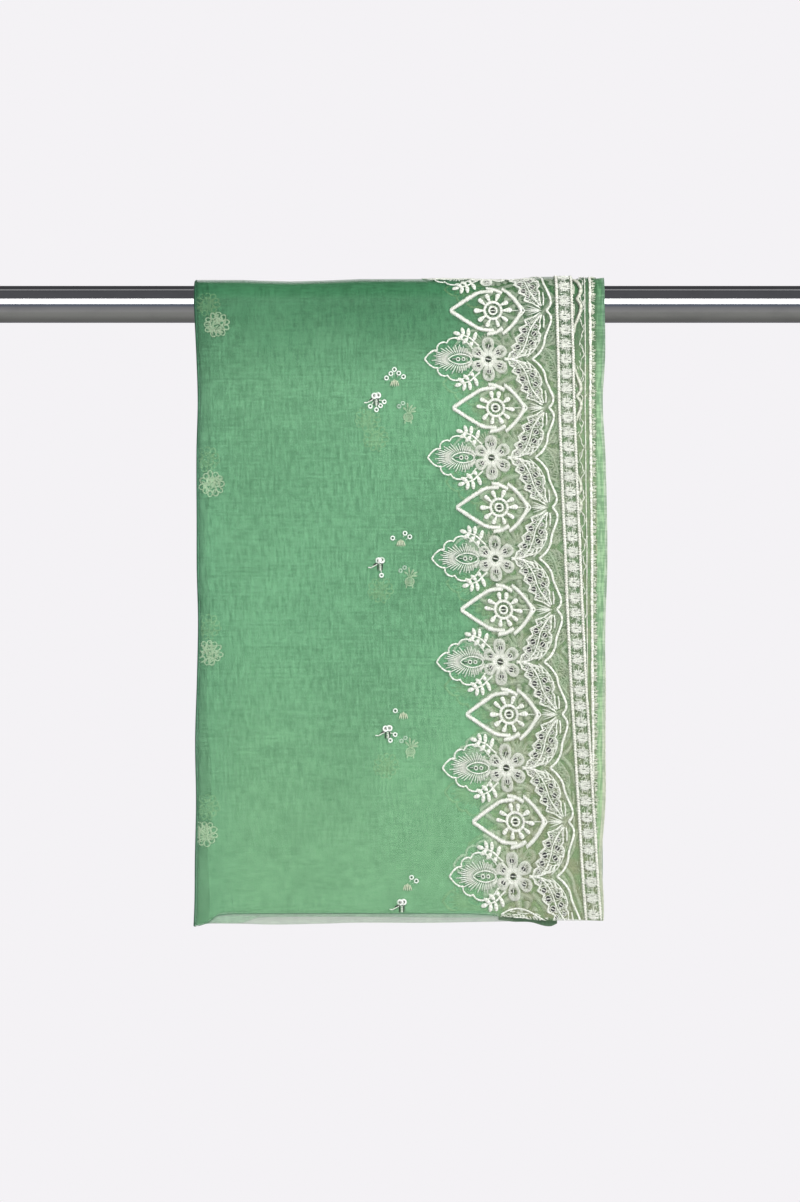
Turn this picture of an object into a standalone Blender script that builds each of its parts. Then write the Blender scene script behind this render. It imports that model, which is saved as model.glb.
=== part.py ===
"""A sheer dupatta stole, folded and hung over a round chrome rail.

Metres, +Z up. The origin is on the rail's axis, halfway along it. X runs along the rail, and the front
drop hangs at -Y. The folded edge of the cloth is at -X and its braided long edge at +X.

Every ply is a wall on one shared form: down the back, over the rail and down the front. A ply is worked
out from that form's points and moved out by the plies that lie under it.
"""

import math
from collections import namedtuple

import bmesh
import bpy
from mathutils import Vector

# Driving sizes, in metres
RAIL_DIAMETER = 0.032
RAIL_LENGTH = 0.740
RAIL_CHAMFER = 0.0012
RAIL_SIDES = 64

SEAM_GAP = 0.0003
PLY_WALL = 0.0010
BRAID_WALL = 0.0008
BRAID_WIDTH = 0.0140
BRAID_INSET = 0.0004  # cloth left showing outside a braid's outer cord

CORE_WALL = 0.0021  # the inner plies where the rail presses them together
CORE_FULLNESS = 0.0014  # and what they swell by at the hem
EMBROIDERY_BUILD = 0.0017  # and by under the embroidered border
BUILD_STARTS, BUILD_ENDS = 0.095, 0.125  # where that swelling rises, along X

FOLD_RADIUS = 0.0016  # outer radius of the outermost ply's folded left edge
FOLD_STEPS = 3
ROUNDING_STEPS = 3  # points that round a free edge of the inner plies
TURN_STEPS = 12  # stations over the rail, front to back

SECOND_PLY_INSET = 0.0022  # how far inside the folded edge the second ply starts
CORE_INSET = 0.0034
BACK_DROP = 0.5260

# The rows of points that all plies share, so that they lie evenly on each other
SHARED_COLUMNS = (
    *(-0.1660, -0.1570, -0.1360, -0.1220, -0.0950, -0.0650, -0.0350, -0.0050),
    *(0.0250, 0.0550, 0.0800, 0.0950, 0.1100, 0.1250, 0.1335),
)
FAR_COLUMN = 0.185
SHARED_DROPS = (
    *(0.012, 0.030, 0.060, 0.095, 0.135, 0.175, 0.215),
    *(0.255, 0.295, 0.335, 0.375, 0.415, 0.455, 0.495),
)
BACK_DROPS = (0.012, 0.030, 0.080, 0.150, 0.230, 0.310, 0.390, 0.470)

# The front's outline, down from the rail's axis
Outline = namedtuple("Outline", "drop left right")
OUTLINES = (
    Outline(drop=0.000, left=-0.1780, right=0.1767),
    Outline(drop=0.045, left=-0.1758, right=0.1772),
    Outline(drop=0.085, left=-0.1746, right=0.1751),
    Outline(drop=0.130, left=-0.1757, right=0.1774),
    Outline(drop=0.187, left=-0.1755, right=0.1788),
    Outline(drop=0.230, left=-0.1754, right=0.1790),
    Outline(drop=0.275, left=-0.1743, right=0.1774),
    Outline(drop=0.326, left=-0.1753, right=0.1771),
    Outline(drop=0.378, left=-0.1768, right=0.1767),
    Outline(drop=0.430, left=-0.1760, right=0.1768),
    Outline(drop=0.481, left=-0.1770, right=0.1734),
    Outline(drop=0.516, left=-0.1773, right=0.1752),
    Outline(drop=0.540, left=-0.1782, right=0.1750),
)

# Hems of the front drop, along X: how far the outermost ply and those under it reach below the rail's axis
Hem = namedtuple("Hem", "place outer second inner")
HEMS = (
    Hem(place=-0.1790, outer=0.5392, second=0.5378, inner=0.5384),
    Hem(place=-0.1660, outer=0.5352, second=0.5358, inner=0.5340),
    Hem(place=-0.1570, outer=0.5290, second=0.5352, inner=0.5270),
    Hem(place=-0.1360, outer=0.5275, second=0.5350, inner=0.5264),
    Hem(place=-0.1220, outer=0.5275, second=0.5305, inner=0.5265),
    Hem(place=0.0550, outer=0.5275, second=0.5305, inner=0.5265),
    Hem(place=0.0800, outer=0.5288, second=0.5305, inner=0.5270),
    Hem(place=0.0950, outer=0.5300, second=0.5304, inner=0.5280),
    Hem(place=0.1100, outer=0.5318, second=0.5310, inner=0.5300),
    Hem(place=0.1335, outer=0.5328, second=0.5318, inner=0.5310),
    Hem(place=0.1800, outer=0.5330, second=0.5322, inner=0.5338),
)

# Soft folds in the hanging drops: where each lies along X, and how far it stands out at the hem
SoftFold = namedtuple("SoftFold", "place width front back")
SOFT_FOLDS = (
    SoftFold(place=-0.150, width=0.034, front=0.0018, back=-0.0010),
    SoftFold(place=-0.078, width=0.046, front=-0.0012, back=0.0020),
    SoftFold(place=0.004, width=0.060, front=0.0014, back=-0.0012),
    SoftFold(place=0.078, width=0.040, front=-0.0008, back=0.0016),
)
FOLD_START = 0.040  # the drop below which the soft folds begin

# The long edge of the outermost ply runs askew: its place at the rail's axis, its slope and its bend
EDGE_PLACE, EDGE_SLOPE, EDGE_BEND = 0.1496, 0.0230, 0.0460
SECOND_EDGE_PLACE = 0.1698

# Over the rail the inner plies stand unevenly, and are bunched beside the outermost ply's edge
Crest = namedtuple("Crest", "place lift")
CRESTS = (
    *(Crest(-0.1360, 0.0), Crest(-0.1220, -0.0006), Crest(-0.0950, -0.0013), Crest(-0.0650, -0.0005)),
    *(Crest(-0.0350, 0.0008), Crest(0.0550, 0.0008), Crest(0.0800, 0.0)),
    *(Crest(0.1515, 0.0), Crest(0.1545, 0.0018), Crest(0.1698, 0.0018), Crest(0.1725, 0.0028)),
)
BUNCHED_COLUMNS = (0.1515, 0.1545)
SELVEDGE_COLUMNS = (0.1698, 0.1725)
CREST_DROP = 0.060  # the drop at which the unevenness has died away
STRAIGHT_BACK_DROP = 0.045  # the drop below which the back's folded edge hangs straight
RAIL_RADIUS = RAIL_DIAMETER / 2

# What shows below the hems: the innermost ply's hem, a corner folded inside, and a corded long edge
STRIP_TOP = 0.500
Strip = namedtuple("Strip", "place bottom")
HEM_STRIP = (
    Strip(place=-0.1690, bottom=0.5360),
    Strip(place=-0.1360, bottom=0.5362),
    Strip(place=-0.1100, bottom=0.5370),
    Strip(place=-0.0650, bottom=0.5362),
    Strip(place=-0.0350, bottom=0.5353),
    Strip(place=0.0250, bottom=0.5354),
    Strip(place=0.0800, bottom=0.5345),
    Strip(place=0.0990, bottom=0.5341),
)
FOLDED_CORNER = (
    Strip(place=0.0850, bottom=0.5330),
    Strip(place=0.0980, bottom=0.5346),
    Strip(place=0.1130, bottom=0.5350),
    Strip(place=0.1250, bottom=0.5382),
    Strip(place=0.1310, bottom=0.5384),
    Strip(place=0.1358, bottom=0.5360),
)
CORD_EDGE_TOP, CORD_EDGE_BOTTOM = 0.250, 0.5334
CORD_EDGE_WIDTH, CORD_EDGE_REACH, CORD_EDGE_EASE = 0.0120, 0.0012, 0.0850

CLOTH_GREEN = (0.165, 0.390, 0.215, 1.0)
PALE_GREEN = (0.420, 0.560, 0.440, 1.0)
THREAD_WHITE = (0.830, 0.850, 0.760, 1.0)
CHROME = (0.560, 0.570, 0.590, 1.0)


def between(low, high, part):
    return low + (high - low) * part


def eased(part):
    part = min(max(part, 0.0), 1.0)
    return part * part * (3 - 2 * part)


def read(rows, column, place):
    """One column of a table at a place along its first column, on a smooth line through the rows."""
    places = [row[0] for row in rows]
    values = [getattr(row, column) for row in rows]
    if place <= places[0]:
        return values[0]
    if place >= places[-1]:
        return values[-1]
    after = next(i for i, at in enumerate(places) if at > place)
    before = after - 1
    step = places[after] - places[before]

    def slope(i):
        first, last = max(i - 1, 0), min(i + 1, len(rows) - 1)
        return (values[last] - values[first]) / (places[last] - places[first])

    part = (place - places[before]) / step
    rise = eased(part)
    bow_in = part * (1 - part) ** 2 * step * slope(before)
    bow_out = part**2 * (1 - part) * step * slope(after)
    return between(values[before], values[after], rise) + bow_in - bow_out


class Station:
    """A place along the form: a drop below the rail's axis, in front or behind, or an angle over it."""

    def __init__(self, side, drop=0.0, angle=0.0):
        self.side, self.drop, self.angle = side, drop, angle

    def run(self):
        """How far below the rail's axis the cloth has run here, negative over and behind the rail."""
        if self.side == "front":
            return self.drop
        if self.side == "turn":
            return -self.angle * (RAIL_RADIUS + CORE_WALL)
        return -math.pi * (RAIL_RADIUS + CORE_WALL) - self.drop


def swelling(place, station):
    """Thickness of the inner plies at one of the shared columns."""
    build = EMBROIDERY_BUILD * eased((place - BUILD_STARTS) / (BUILD_ENDS - BUILD_STARTS))
    fullness = CORE_FULLNESS * eased(station.drop / HEMS[0].outer)
    return CORE_WALL + build + fullness


def unevenness(place, station):
    """How much thicker or thinner the inner plies are here, over the rail."""
    rows = CRESTS
    share = 1.0 - eased(station.drop / CREST_DROP)
    if place <= rows[0].place:
        return share * rows[0].lift
    for low, high in zip(rows, rows[1:]):
        if place <= high.place:
            part = (place - low.place) / (high.place - low.place)
            return share * between(low.lift, high.lift, part)
    return share * rows[-1].lift


def soft_fold(place, station):
    """How far the whole drop stands out here because of its soft folds."""
    if station.side == "turn":
        return 0.0
    growth = max(station.drop - FOLD_START, 0.0) / (HEMS[0].outer - FOLD_START)
    total = 0.0
    for fold in SOFT_FOLDS:
        height = fold.front if station.side == "front" else fold.back
        total += height * math.exp(-(((place - fold.place) / fold.width) ** 2))
    return total * growth


def on_columns(function, place, station):
    """A function of the place along X, worked out at the shared columns and straight between them."""
    columns = (-FAR_COLUMN, *SHARED_COLUMNS, FAR_COLUMN)
    after = next((i for i, at in enumerate(columns) if at > place), len(columns) - 1)
    low, high = columns[after - 1], columns[after]
    part = (place - low) / (high - low)
    return between(function(low, station), function(high, station), part)


def laid(place, height, station):
    """A point on the form: place along X, and height above the rail's surface with the drop's soft folds."""
    out = RAIL_RADIUS + height + on_columns(soft_fold, place, station)
    if station.side == "front":
        return Vector((place, -out, -station.drop))
    if station.side == "turn":
        return Vector((place, -out * math.cos(station.angle), out * math.sin(station.angle)))
    return Vector((place, out, -station.drop))


def core_top(place, station):
    return SEAM_GAP + on_columns(swelling, place, station) + unevenness(place, station)


def second_top(place, station):
    return core_top(place, station) + SEAM_GAP + PLY_WALL


def braid_lift(place, station):
    """How far the outermost ply is lifted, at one of the shared columns, to clear the braid under it."""
    return (BRAID_WALL + SEAM_GAP) * eased((place - BUILD_STARTS) / (BUILD_ENDS - BUILD_STARTS))


def outer_top(place, station):
    return second_top(place, station) + on_columns(braid_lift, place, station) + SEAM_GAP + PLY_WALL


def left_edge(station):
    drop = station.drop if station.side == "front" else min(station.drop, STRAIGHT_BACK_DROP)
    return read(OUTLINES, "left", drop)


def right_edge(station):
    drop = station.drop if station.side == "front" else 0.0
    return read(OUTLINES, "right", drop)


def outer_long_edge(station):
    run = station.run()
    return EDGE_PLACE + EDGE_SLOPE * run + EDGE_BEND * max(run, 0.0) ** 2


def second_long_edge(station):
    return SECOND_EDGE_PLACE


def stations(front_hem, back_hem):
    """Stations from the front hem, up over the rail and down to the back hem."""
    front = [Station("front", drop=front_hem)]
    front += [Station("front", drop=drop) for drop in reversed(SHARED_DROPS)]
    turn = [Station("turn", angle=math.pi * i / TURN_STEPS) for i in range(TURN_STEPS + 1)]
    back = [Station("back", drop=drop) for drop in BACK_DROPS]
    return front + turn + back + [Station("back", drop=back_hem)]


def closed_wall(name, outer, inner, material):
    """A closed wall between two grids of points, each a list of rows of the same length."""
    made = bmesh.new()
    over = [[made.verts.new(point) for point in row] for row in outer]
    under = [[made.verts.new(point) for point in row] for row in inner]
    last_row, last_column = len(outer) - 1, len(outer[0]) - 1
    for i in range(last_row):
        for j in range(last_column):
            made.faces.new((over[i][j], over[i][j + 1], over[i + 1][j + 1], over[i + 1][j]))
            made.faces.new((under[i][j], under[i + 1][j], under[i + 1][j + 1], under[i][j + 1]))
        made.faces.new((over[i][0], over[i + 1][0], under[i + 1][0], under[i][0]))
        end, far_end = over[i][last_column], over[i + 1][last_column]
        made.faces.new((far_end, end, under[i][last_column], under[i + 1][last_column]))
    for j in range(last_column):
        made.faces.new((over[0][j + 1], over[0][j], under[0][j], under[0][j + 1]))
        made.faces.new((over[last_row][j], over[last_row][j + 1], under[last_row][j + 1], under[last_row][j]))
    bmesh.ops.recalc_face_normals(made, faces=made.faces)
    return finished(name, made, material)


def finished(name, made, material):
    mesh = bpy.data.meshes.new(name)
    made.to_mesh(mesh)
    made.free()
    mesh.shade_smooth()
    mesh.set_sharp_from_angle(angle=math.radians(40))
    mesh.materials.append(material)
    thing = bpy.data.objects.new(name, mesh)
    bpy.context.scene.collection.objects.link(thing)
    return thing


def finish(name, colour, roughness, metallic=0.0):
    material = bpy.data.materials.new(name)
    material.use_nodes = True
    shader = material.node_tree.nodes["Principled BSDF"]
    shader.inputs["Base Color"].default_value = colour
    shader.inputs["Roughness"].default_value = roughness
    shader.inputs["Metallic"].default_value = metallic
    return material


def with_hem(station, place, hem):
    """The station of a point in the last row at the front, where the hem's drop changes along X."""
    if station.side == "front" and station.drop >= SHARED_DROPS[-1] + SEAM_GAP:
        return Station("front", drop=read(HEMS, hem, place))
    return station


def make_rail(material):
    profile = (
        (-RAIL_LENGTH / 2, RAIL_RADIUS - RAIL_CHAMFER),
        (-RAIL_LENGTH / 2 + RAIL_CHAMFER, RAIL_RADIUS),
        (RAIL_LENGTH / 2 - RAIL_CHAMFER, RAIL_RADIUS),
        (RAIL_LENGTH / 2, RAIL_RADIUS - RAIL_CHAMFER),
    )
    made = bmesh.new()
    rings = []
    for place, radius in profile:
        turns = [2 * math.pi * i / RAIL_SIDES for i in range(RAIL_SIDES)]
        rings.append([made.verts.new((place, radius * math.cos(a), radius * math.sin(a))) for a in turns])
    for ring, following in zip(rings, rings[1:]):
        for i in range(RAIL_SIDES):
            j = (i + 1) % RAIL_SIDES
            made.faces.new((ring[i], ring[j], following[j], following[i]))
    made.faces.new(rings[0])
    made.faces.new(rings[-1])
    bmesh.ops.recalc_face_normals(made, faces=made.faces)
    return finished("rail", made, material)


def make_outer_ply(material):
    """The outermost ply, with its folded left edge turned round the stack."""
    outer, inner = [], []
    for station in stations(HEMS[0].outer, BACK_DROP):
        left, right = left_edge(station), outer_long_edge(station)
        over, under = [], []
        lip = with_hem(station, left, "outer")
        top = outer_top(left, lip)
        over.append(laid(left, SEAM_GAP * 2, lip))
        under.append(laid(left + PLY_WALL, SEAM_GAP * 2, lip))
        for i in range(FOLD_STEPS):
            turn = math.pi / 2 * (1 - i / FOLD_STEPS)
            for row, radius in ((over, FOLD_RADIUS), (under, FOLD_RADIUS - PLY_WALL)):
                place = left + FOLD_RADIUS - radius * math.sin(turn)
                row.append(laid(place, top - FOLD_RADIUS + radius * math.cos(turn), lip))
        for place in (left + FOLD_RADIUS, *SHARED_COLUMNS, right):
            here = with_hem(station, place, "outer")
            over.append(laid(place, outer_top(place, here), here))
            under.append(laid(place, outer_top(place, here) - PLY_WALL, here))
        outer.append(over)
        inner.append(under)
    return closed_wall("outer_ply", outer, inner, material)


def make_second_ply(material):
    outer, inner = [], []
    for station in stations(HEMS[0].outer, BACK_DROP - PLY_WALL):
        left = left_edge(station) + SECOND_PLY_INSET
        over, under = [], []
        for place in (left, *SHARED_COLUMNS, *BUNCHED_COLUMNS, second_long_edge(station)):
            here = with_hem(station, place, "second")
            over.append(laid(place, second_top(place, here), here))
            under.append(laid(place, second_top(place, here) - PLY_WALL, here))
        outer.append(over)
        inner.append(under)
    return closed_wall("second_ply", outer, inner, material)


def make_inner_plies(material):
    """The plies folded inside, as one solid whose long edges are rounded."""
    outer, inner = [], []
    for station in stations(HEMS[0].inner, BACK_DROP - 2 * PLY_WALL):
        left, right = left_edge(station) + CORE_INSET, right_edge(station)
        turns = [math.radians(15) + math.radians(75) * i / ROUNDING_STEPS for i in range(ROUNDING_STEPS)]
        spots = []
        half = (core_top(left, station) - SEAM_GAP) / 2
        spots += [(left + half * (1 - math.cos(turn)), math.sin(turn)) for turn in turns]
        spots += [(place, 1.0) for place in (*SHARED_COLUMNS, *BUNCHED_COLUMNS, *SELVEDGE_COLUMNS)]
        half = (core_top(right, station) - SEAM_GAP) / 2
        spots += [(right - half * (1 - math.cos(turn)), math.sin(turn)) for turn in reversed(turns)]
        over, under = [], []
        for place, share in spots:
            here = with_hem(station, place, "inner")
            half = (core_top(place, here) - SEAM_GAP) / 2
            over.append(laid(place, SEAM_GAP + half * (1 + share), here))
            under.append(laid(place, SEAM_GAP + half * (1 - share), here))
        outer.append(over)
        inner.append(under)
    return closed_wall("inner_plies", outer, inner, material)


def make_braid(name, long_edge, ply_top, hem, back_hem, material):
    """A braid along a ply's long edge, made from the ply's points and moved out."""
    outer, inner = [], []
    for station in stations(HEMS[0].outer, back_hem):
        right = long_edge(station) - BRAID_INSET
        over, under = [], []
        for place in (right - BRAID_WIDTH, right - BRAID_WIDTH / 2, right):
            here = with_hem(station, place, hem)
            if here is not station:
                here.drop -= BRAID_INSET
            height = ply_top(place, here) + SEAM_GAP
            over.append(laid(place, height + BRAID_WALL, here))
            under.append(laid(place, height, here))
        outer.append(over)
        inner.append(under)
    return closed_wall(name, outer, inner, material)


def make_strip(name, rows, height, material):
    """A strip that hangs from behind the inner plies; height is its outer face's, from the rail's surface."""
    places = {row.place for row in rows}
    columns = sorted(places | {x for x in SHARED_COLUMNS if rows[0].place < x < rows[-1].place})
    outer, inner = [], []
    for part in (1.0, 0.5, 0.0):
        over, under = [], []
        for place in columns:
            here = Station("front", drop=between(STRIP_TOP, read(rows, "bottom", place), part))
            over.append(laid(place, height, here))
            under.append(laid(place, height - PLY_WALL, here))
        outer.append(over)
        inner.append(under)
    return closed_wall(name, outer, inner, material)


def make_inner_edge_cord(material):
    """The innermost ply's corded long edge, which shows beside the inner plies low down at the front."""
    drops = [CORD_EDGE_BOTTOM, *(d for d in reversed(SHARED_DROPS) if d > CORD_EDGE_TOP), CORD_EDGE_TOP]
    outer, inner = [], []
    for drop in drops:
        here = Station("front", drop=drop)
        reach = CORD_EDGE_REACH * eased((drop - CORD_EDGE_TOP) / CORD_EDGE_EASE)
        right = right_edge(here) - CORD_EDGE_REACH + 2 * reach
        over, under = [], []
        for place in (right - CORD_EDGE_WIDTH, right - CORD_EDGE_WIDTH / 2, right):
            over.append(laid(place, -SEAM_GAP, here))
            under.append(laid(place, -SEAM_GAP - PLY_WALL, here))
        outer.append(over)
        inner.append(under)
    return closed_wall("inner_edge_cord", outer, inner, material)


def main():
    for thing in list(bpy.data.objects):
        bpy.data.objects.remove(thing, do_unlink=True)
    green = finish("sheer_green_organza", CLOTH_GREEN, 0.55)
    pale = finish("single_ply_organza", PALE_GREEN, 0.55)
    thread = finish("white_braid", THREAD_WHITE, 0.6)
    chrome = finish("chrome", CHROME, 0.12, metallic=1.0)
    make_rail(chrome)
    make_inner_plies(green)
    make_second_ply(green)
    make_outer_ply(green)
    make_braid("second_braid", second_long_edge, second_top, "second", BACK_DROP - 2 * PLY_WALL, thread)
    make_braid("edge_braid", outer_long_edge, outer_top, "outer", BACK_DROP - PLY_WALL, thread)
    make_strip("hem_strip", HEM_STRIP, -SEAM_GAP, pale)
    make_strip("folded_corner", FOLDED_CORNER, -2 * SEAM_GAP - PLY_WALL, green)
    make_inner_edge_cord(thread)


main()
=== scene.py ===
"""The looks of a sheer green dupatta stole, folded and hung over a chrome rail.

Metres, +Z up, in the frame's own axes: X runs along the rail, from the cloth's folded edge at -X to its
braided edge at +X, and the front drop hangs at -Y. Each ply is a sheet laid on the hanging form. Places on
a ply are given across it and by their run, the distance along the cloth from the rail's crest: positive
down the front and negative down the back. Embroidery is drawn flat in millimetres, then laid on its ply.
"""

import math
from collections import namedtuple

import bmesh
import bpy
import numpy as np
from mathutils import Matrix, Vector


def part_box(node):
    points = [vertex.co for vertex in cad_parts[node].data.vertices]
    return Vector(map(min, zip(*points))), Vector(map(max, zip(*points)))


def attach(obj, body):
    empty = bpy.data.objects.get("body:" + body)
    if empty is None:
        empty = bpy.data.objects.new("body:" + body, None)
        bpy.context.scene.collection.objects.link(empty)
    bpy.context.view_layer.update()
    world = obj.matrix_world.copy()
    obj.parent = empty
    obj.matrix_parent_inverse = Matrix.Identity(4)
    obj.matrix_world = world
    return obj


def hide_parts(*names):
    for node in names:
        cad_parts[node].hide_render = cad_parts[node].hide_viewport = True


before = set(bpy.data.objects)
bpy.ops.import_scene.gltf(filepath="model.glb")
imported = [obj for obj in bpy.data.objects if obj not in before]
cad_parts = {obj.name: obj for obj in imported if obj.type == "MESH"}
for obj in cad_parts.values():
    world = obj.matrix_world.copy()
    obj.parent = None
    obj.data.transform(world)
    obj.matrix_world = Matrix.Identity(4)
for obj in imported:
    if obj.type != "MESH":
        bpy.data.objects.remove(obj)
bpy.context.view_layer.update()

MM = 0.001
chance = np.random.default_rng(11)

# ---------------------------------------------------------------- the hanging form

RAIL_LOW, RAIL_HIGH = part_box("rail")
RAIL_RADIUS = (RAIL_HIGH.z - RAIL_LOW.z) / 2
RAIL_HALF = RAIL_HIGH.x
WRAP_RADIUS = RAIL_RADIUS + 0.0054  # of the outermost ply, over the rail
QUARTER = WRAP_RADIUS * math.pi / 2  # the run from the crest to the height of the rail's axis
FRONT_DROP = -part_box("outer_ply")[0].z
BACK_DROP = 0.5260

SEAM_GAP, PLY_WALL = 0.0003, 0.0010
CORE_WALL, CORE_FULLNESS = 0.0021, 0.0014  # the inner plies at the rail, and what they swell by at the hem
EMBROIDERY_BUILD, BRAID_LIFT = 0.0017, 0.0011  # what the border under each ply lifts it by
BUILD_STARTS, BUILD_ENDS = 0.095, 0.125
CLOTH_THICKNESS = 0.00025

FOLD_LINE_WIDTH = 0.0030  # of the dark line along the folded left edge: denser cloth seen edge-on, and painted shade of the rounded fold
PRESSED_FOLD = 0.42  # how much of that line's strength is seen as tightly pressed cloth

# The long edge of the outermost ply runs askew: its place at the rail's axis, its slope and its bend
EDGE_PLACE, EDGE_SLOPE, EDGE_BEND = 0.1496, 0.0230, 0.0460
SECOND_EDGE = 0.1698

# How far the sides of the folded cloth reach along X, by the drop below the rail's axis
Outline = namedtuple("Outline", "drop left right")
OUTLINES = (
    Outline(0.000, -0.1780, 0.1767),
    Outline(0.045, -0.1758, 0.1772),
    Outline(0.085, -0.1746, 0.1751),
    Outline(0.130, -0.1757, 0.1774),
    Outline(0.187, -0.1755, 0.1788),
    Outline(0.230, -0.1754, 0.1790),
    Outline(0.275, -0.1743, 0.1774),
    Outline(0.326, -0.1753, 0.1771),
    Outline(0.378, -0.1768, 0.1767),
    Outline(0.430, -0.1760, 0.1768),
    Outline(0.481, -0.1770, 0.1734),
    Outline(0.516, -0.1773, 0.1752),
    Outline(0.540, -0.1782, 0.1750),
)

STRAIGHT_BACK_DROP = 0.045  # below this the back's folded edge hangs straight

# How far the outermost ply and those under it reach below the rail's axis, along X
Hem = namedtuple("Hem", "place outer second inner")
HEMS = (
    Hem(-0.1790, 0.5392, 0.5378, 0.5384),
    Hem(-0.1660, 0.5352, 0.5358, 0.5340),
    Hem(-0.1570, 0.5290, 0.5352, 0.5270),
    Hem(-0.1360, 0.5275, 0.5350, 0.5264),
    Hem(-0.1220, 0.5275, 0.5305, 0.5265),
    Hem(0.0550, 0.5275, 0.5305, 0.5265),
    Hem(0.0800, 0.5288, 0.5305, 0.5270),
    Hem(0.0950, 0.5300, 0.5304, 0.5280),
    Hem(0.1100, 0.5318, 0.5310, 0.5300),
    Hem(0.1335, 0.5328, 0.5318, 0.5310),
    Hem(0.1800, 0.5330, 0.5322, 0.5338),
)

# How uneven the cloth lies on top of the rail
Crest = namedtuple("Crest", "place lift")
CRESTS = (
    *(Crest(-0.1360, 0.0), Crest(-0.1220, -0.0006), Crest(-0.0950, -0.0013), Crest(-0.0650, -0.0005)),
    *(Crest(-0.0350, 0.0008), Crest(0.0550, 0.0008), Crest(0.0800, 0.0)),
    *(Crest(0.1515, 0.0), Crest(0.1545, 0.0018), Crest(0.1698, 0.0018), Crest(0.1725, 0.0028)),
)
CREST_DROP = 0.060  # the drop at which the unevenness has died away

# Soft folds of the whole drop: where each lies, and how far it stands out at the hem
SoftFold = namedtuple("SoftFold", "place width front back")
SOFT_FOLDS = (
    SoftFold(-0.150, 0.034, 0.0018, -0.0010),
    SoftFold(-0.078, 0.046, -0.0012, 0.0020),
    SoftFold(0.004, 0.060, 0.0014, -0.0012),
    SoftFold(0.078, 0.040, -0.0008, 0.0016),
)
FOLD_START = 0.040

# Shallow creases pressed in all the plies: side 1 is the front, -1 the back; top and bottom are drops
Crease = namedtuple("Crease", "side place top bottom width depth slant")
CREASES = (
    Crease(1, -0.166, -0.020, 0.230, 0.0050, -0.0006, 0.010),
    Crease(1, -0.131, 0.020, 0.420, 0.0110, 0.0005, -0.020),
    Crease(1, -0.096, -0.025, 0.130, 0.0070, -0.0005, 0.060),
    Crease(1, -0.060, 0.180, 0.520, 0.0150, 0.0007, 0.030),
    Crease(1, -0.034, -0.025, 0.090, 0.0060, -0.0005, -0.050),
    Crease(1, -0.008, 0.060, 0.330, 0.0130, -0.0006, 0.022),
    Crease(1, 0.030, -0.022, 0.110, 0.0080, 0.0005, 0.040),
    Crease(1, 0.044, 0.300, 0.530, 0.0120, 0.0006, -0.025),
    Crease(1, -0.150, 0.330, 0.540, 0.0090, -0.0006, 0.015),
    Crease(-1, -0.140, -0.020, 0.380, 0.0100, 0.0006, 0.012),
    Crease(-1, -0.083, 0.040, 0.300, 0.0130, -0.0006, -0.020),
    Crease(-1, -0.020, -0.020, 0.160, 0.0070, 0.0005, 0.040),
    Crease(-1, 0.036, 0.200, 0.520, 0.0140, 0.0007, 0.018),
    Crease(-1, 0.090, -0.018, 0.220, 0.0100, -0.0005, -0.030),
)
CREASE_EASE = 0.045  # the length over which a crease dies away at its ends


def eased(part):
    part = np.clip(part, 0.0, 1.0)
    return part * part * (3 - 2 * part)


def read(rows, column, place):
    """One column of a table at places along its first column, on a smooth line through the rows."""
    places = np.array([row[0] for row in rows])
    values = np.array([getattr(row, column) for row in rows])
    place = np.clip(place, places[0], places[-1])
    before = np.clip(np.searchsorted(places, place, side="right") - 1, 0, len(rows) - 2)
    first = np.maximum(np.arange(len(rows)) - 1, 0)
    last = np.minimum(np.arange(len(rows)) + 1, len(rows) - 1)
    slopes = (values[last] - values[first]) / (places[last] - places[first])
    step = places[before + 1] - places[before]
    part = (place - places[before]) / step
    bow = part * (1 - part) ** 2 * slopes[before] - part**2 * (1 - part) * slopes[before + 1]
    return values[before] + (values[before + 1] - values[before]) * eased(part) + bow * step


def below(run):
    """How far under the rail's axis a run lies, negative on the turn over the rail."""
    return np.abs(run) - QUARTER


def front_drop(run):
    return np.where(run > 0, np.maximum(below(run), 0), 0.0)


def soft_folds(place, run):
    growth = np.maximum(below(run) - FOLD_START, 0) / (FRONT_DROP - FOLD_START)
    total = 0.0
    for fold in SOFT_FOLDS:
        height = np.where(run > 0, fold.front, fold.back)
        total = total + height * np.exp(-(((place - fold.place) / fold.width) ** 2))
    return total * growth


def creases(place, run):
    drop = below(run)
    total = 0.0
    for crease in CREASES:
        middle = crease.place + crease.slant * (drop - crease.top)
        shape = np.exp(-(((place - middle) / crease.width) ** 2))
        fade = eased((drop - crease.top) / CREASE_EASE) * eased((crease.bottom - drop) / CREASE_EASE)
        total = total + np.where(run * crease.side > 0, crease.depth * shape * fade, 0.0)
    return total


def hang(place, run, height):
    """Points on the hanging form: place along X, run along the cloth, height above the rail's surface."""
    out = RAIL_RADIUS + height + soft_folds(place, run) + creases(place, run)
    turn = np.clip(run / WRAP_RADIUS, -math.pi / 2, math.pi / 2)
    drop = np.maximum(below(run), 0)
    return np.stack((place + 0 * out, -out * np.sin(turn), out * np.cos(turn) - drop), axis=-1)


def build_up(place):
    return eased((place - BUILD_STARTS) / (BUILD_ENDS - BUILD_STARTS))


def core_top(place, run):
    drop = np.maximum(below(run), 0)
    fullness = CORE_FULLNESS * eased(drop / FRONT_DROP)
    uneven = np.interp(place, *zip(*CRESTS)) * (1 - eased(drop / CREST_DROP))
    return SEAM_GAP + CORE_WALL + fullness + EMBROIDERY_BUILD * build_up(place) + uneven


def second_top(place, run):
    return core_top(place, run) + SEAM_GAP + PLY_WALL


def outer_top(place, run):
    return second_top(place, run) + BRAID_LIFT * build_up(place) + SEAM_GAP + PLY_WALL


def outer_edge(run):
    drop = run - QUARTER
    return EDGE_PLACE + EDGE_SLOPE * drop + EDGE_BEND * np.maximum(drop, 0) ** 2


def second_edge(run):
    return SECOND_EDGE + 0 * run


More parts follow.
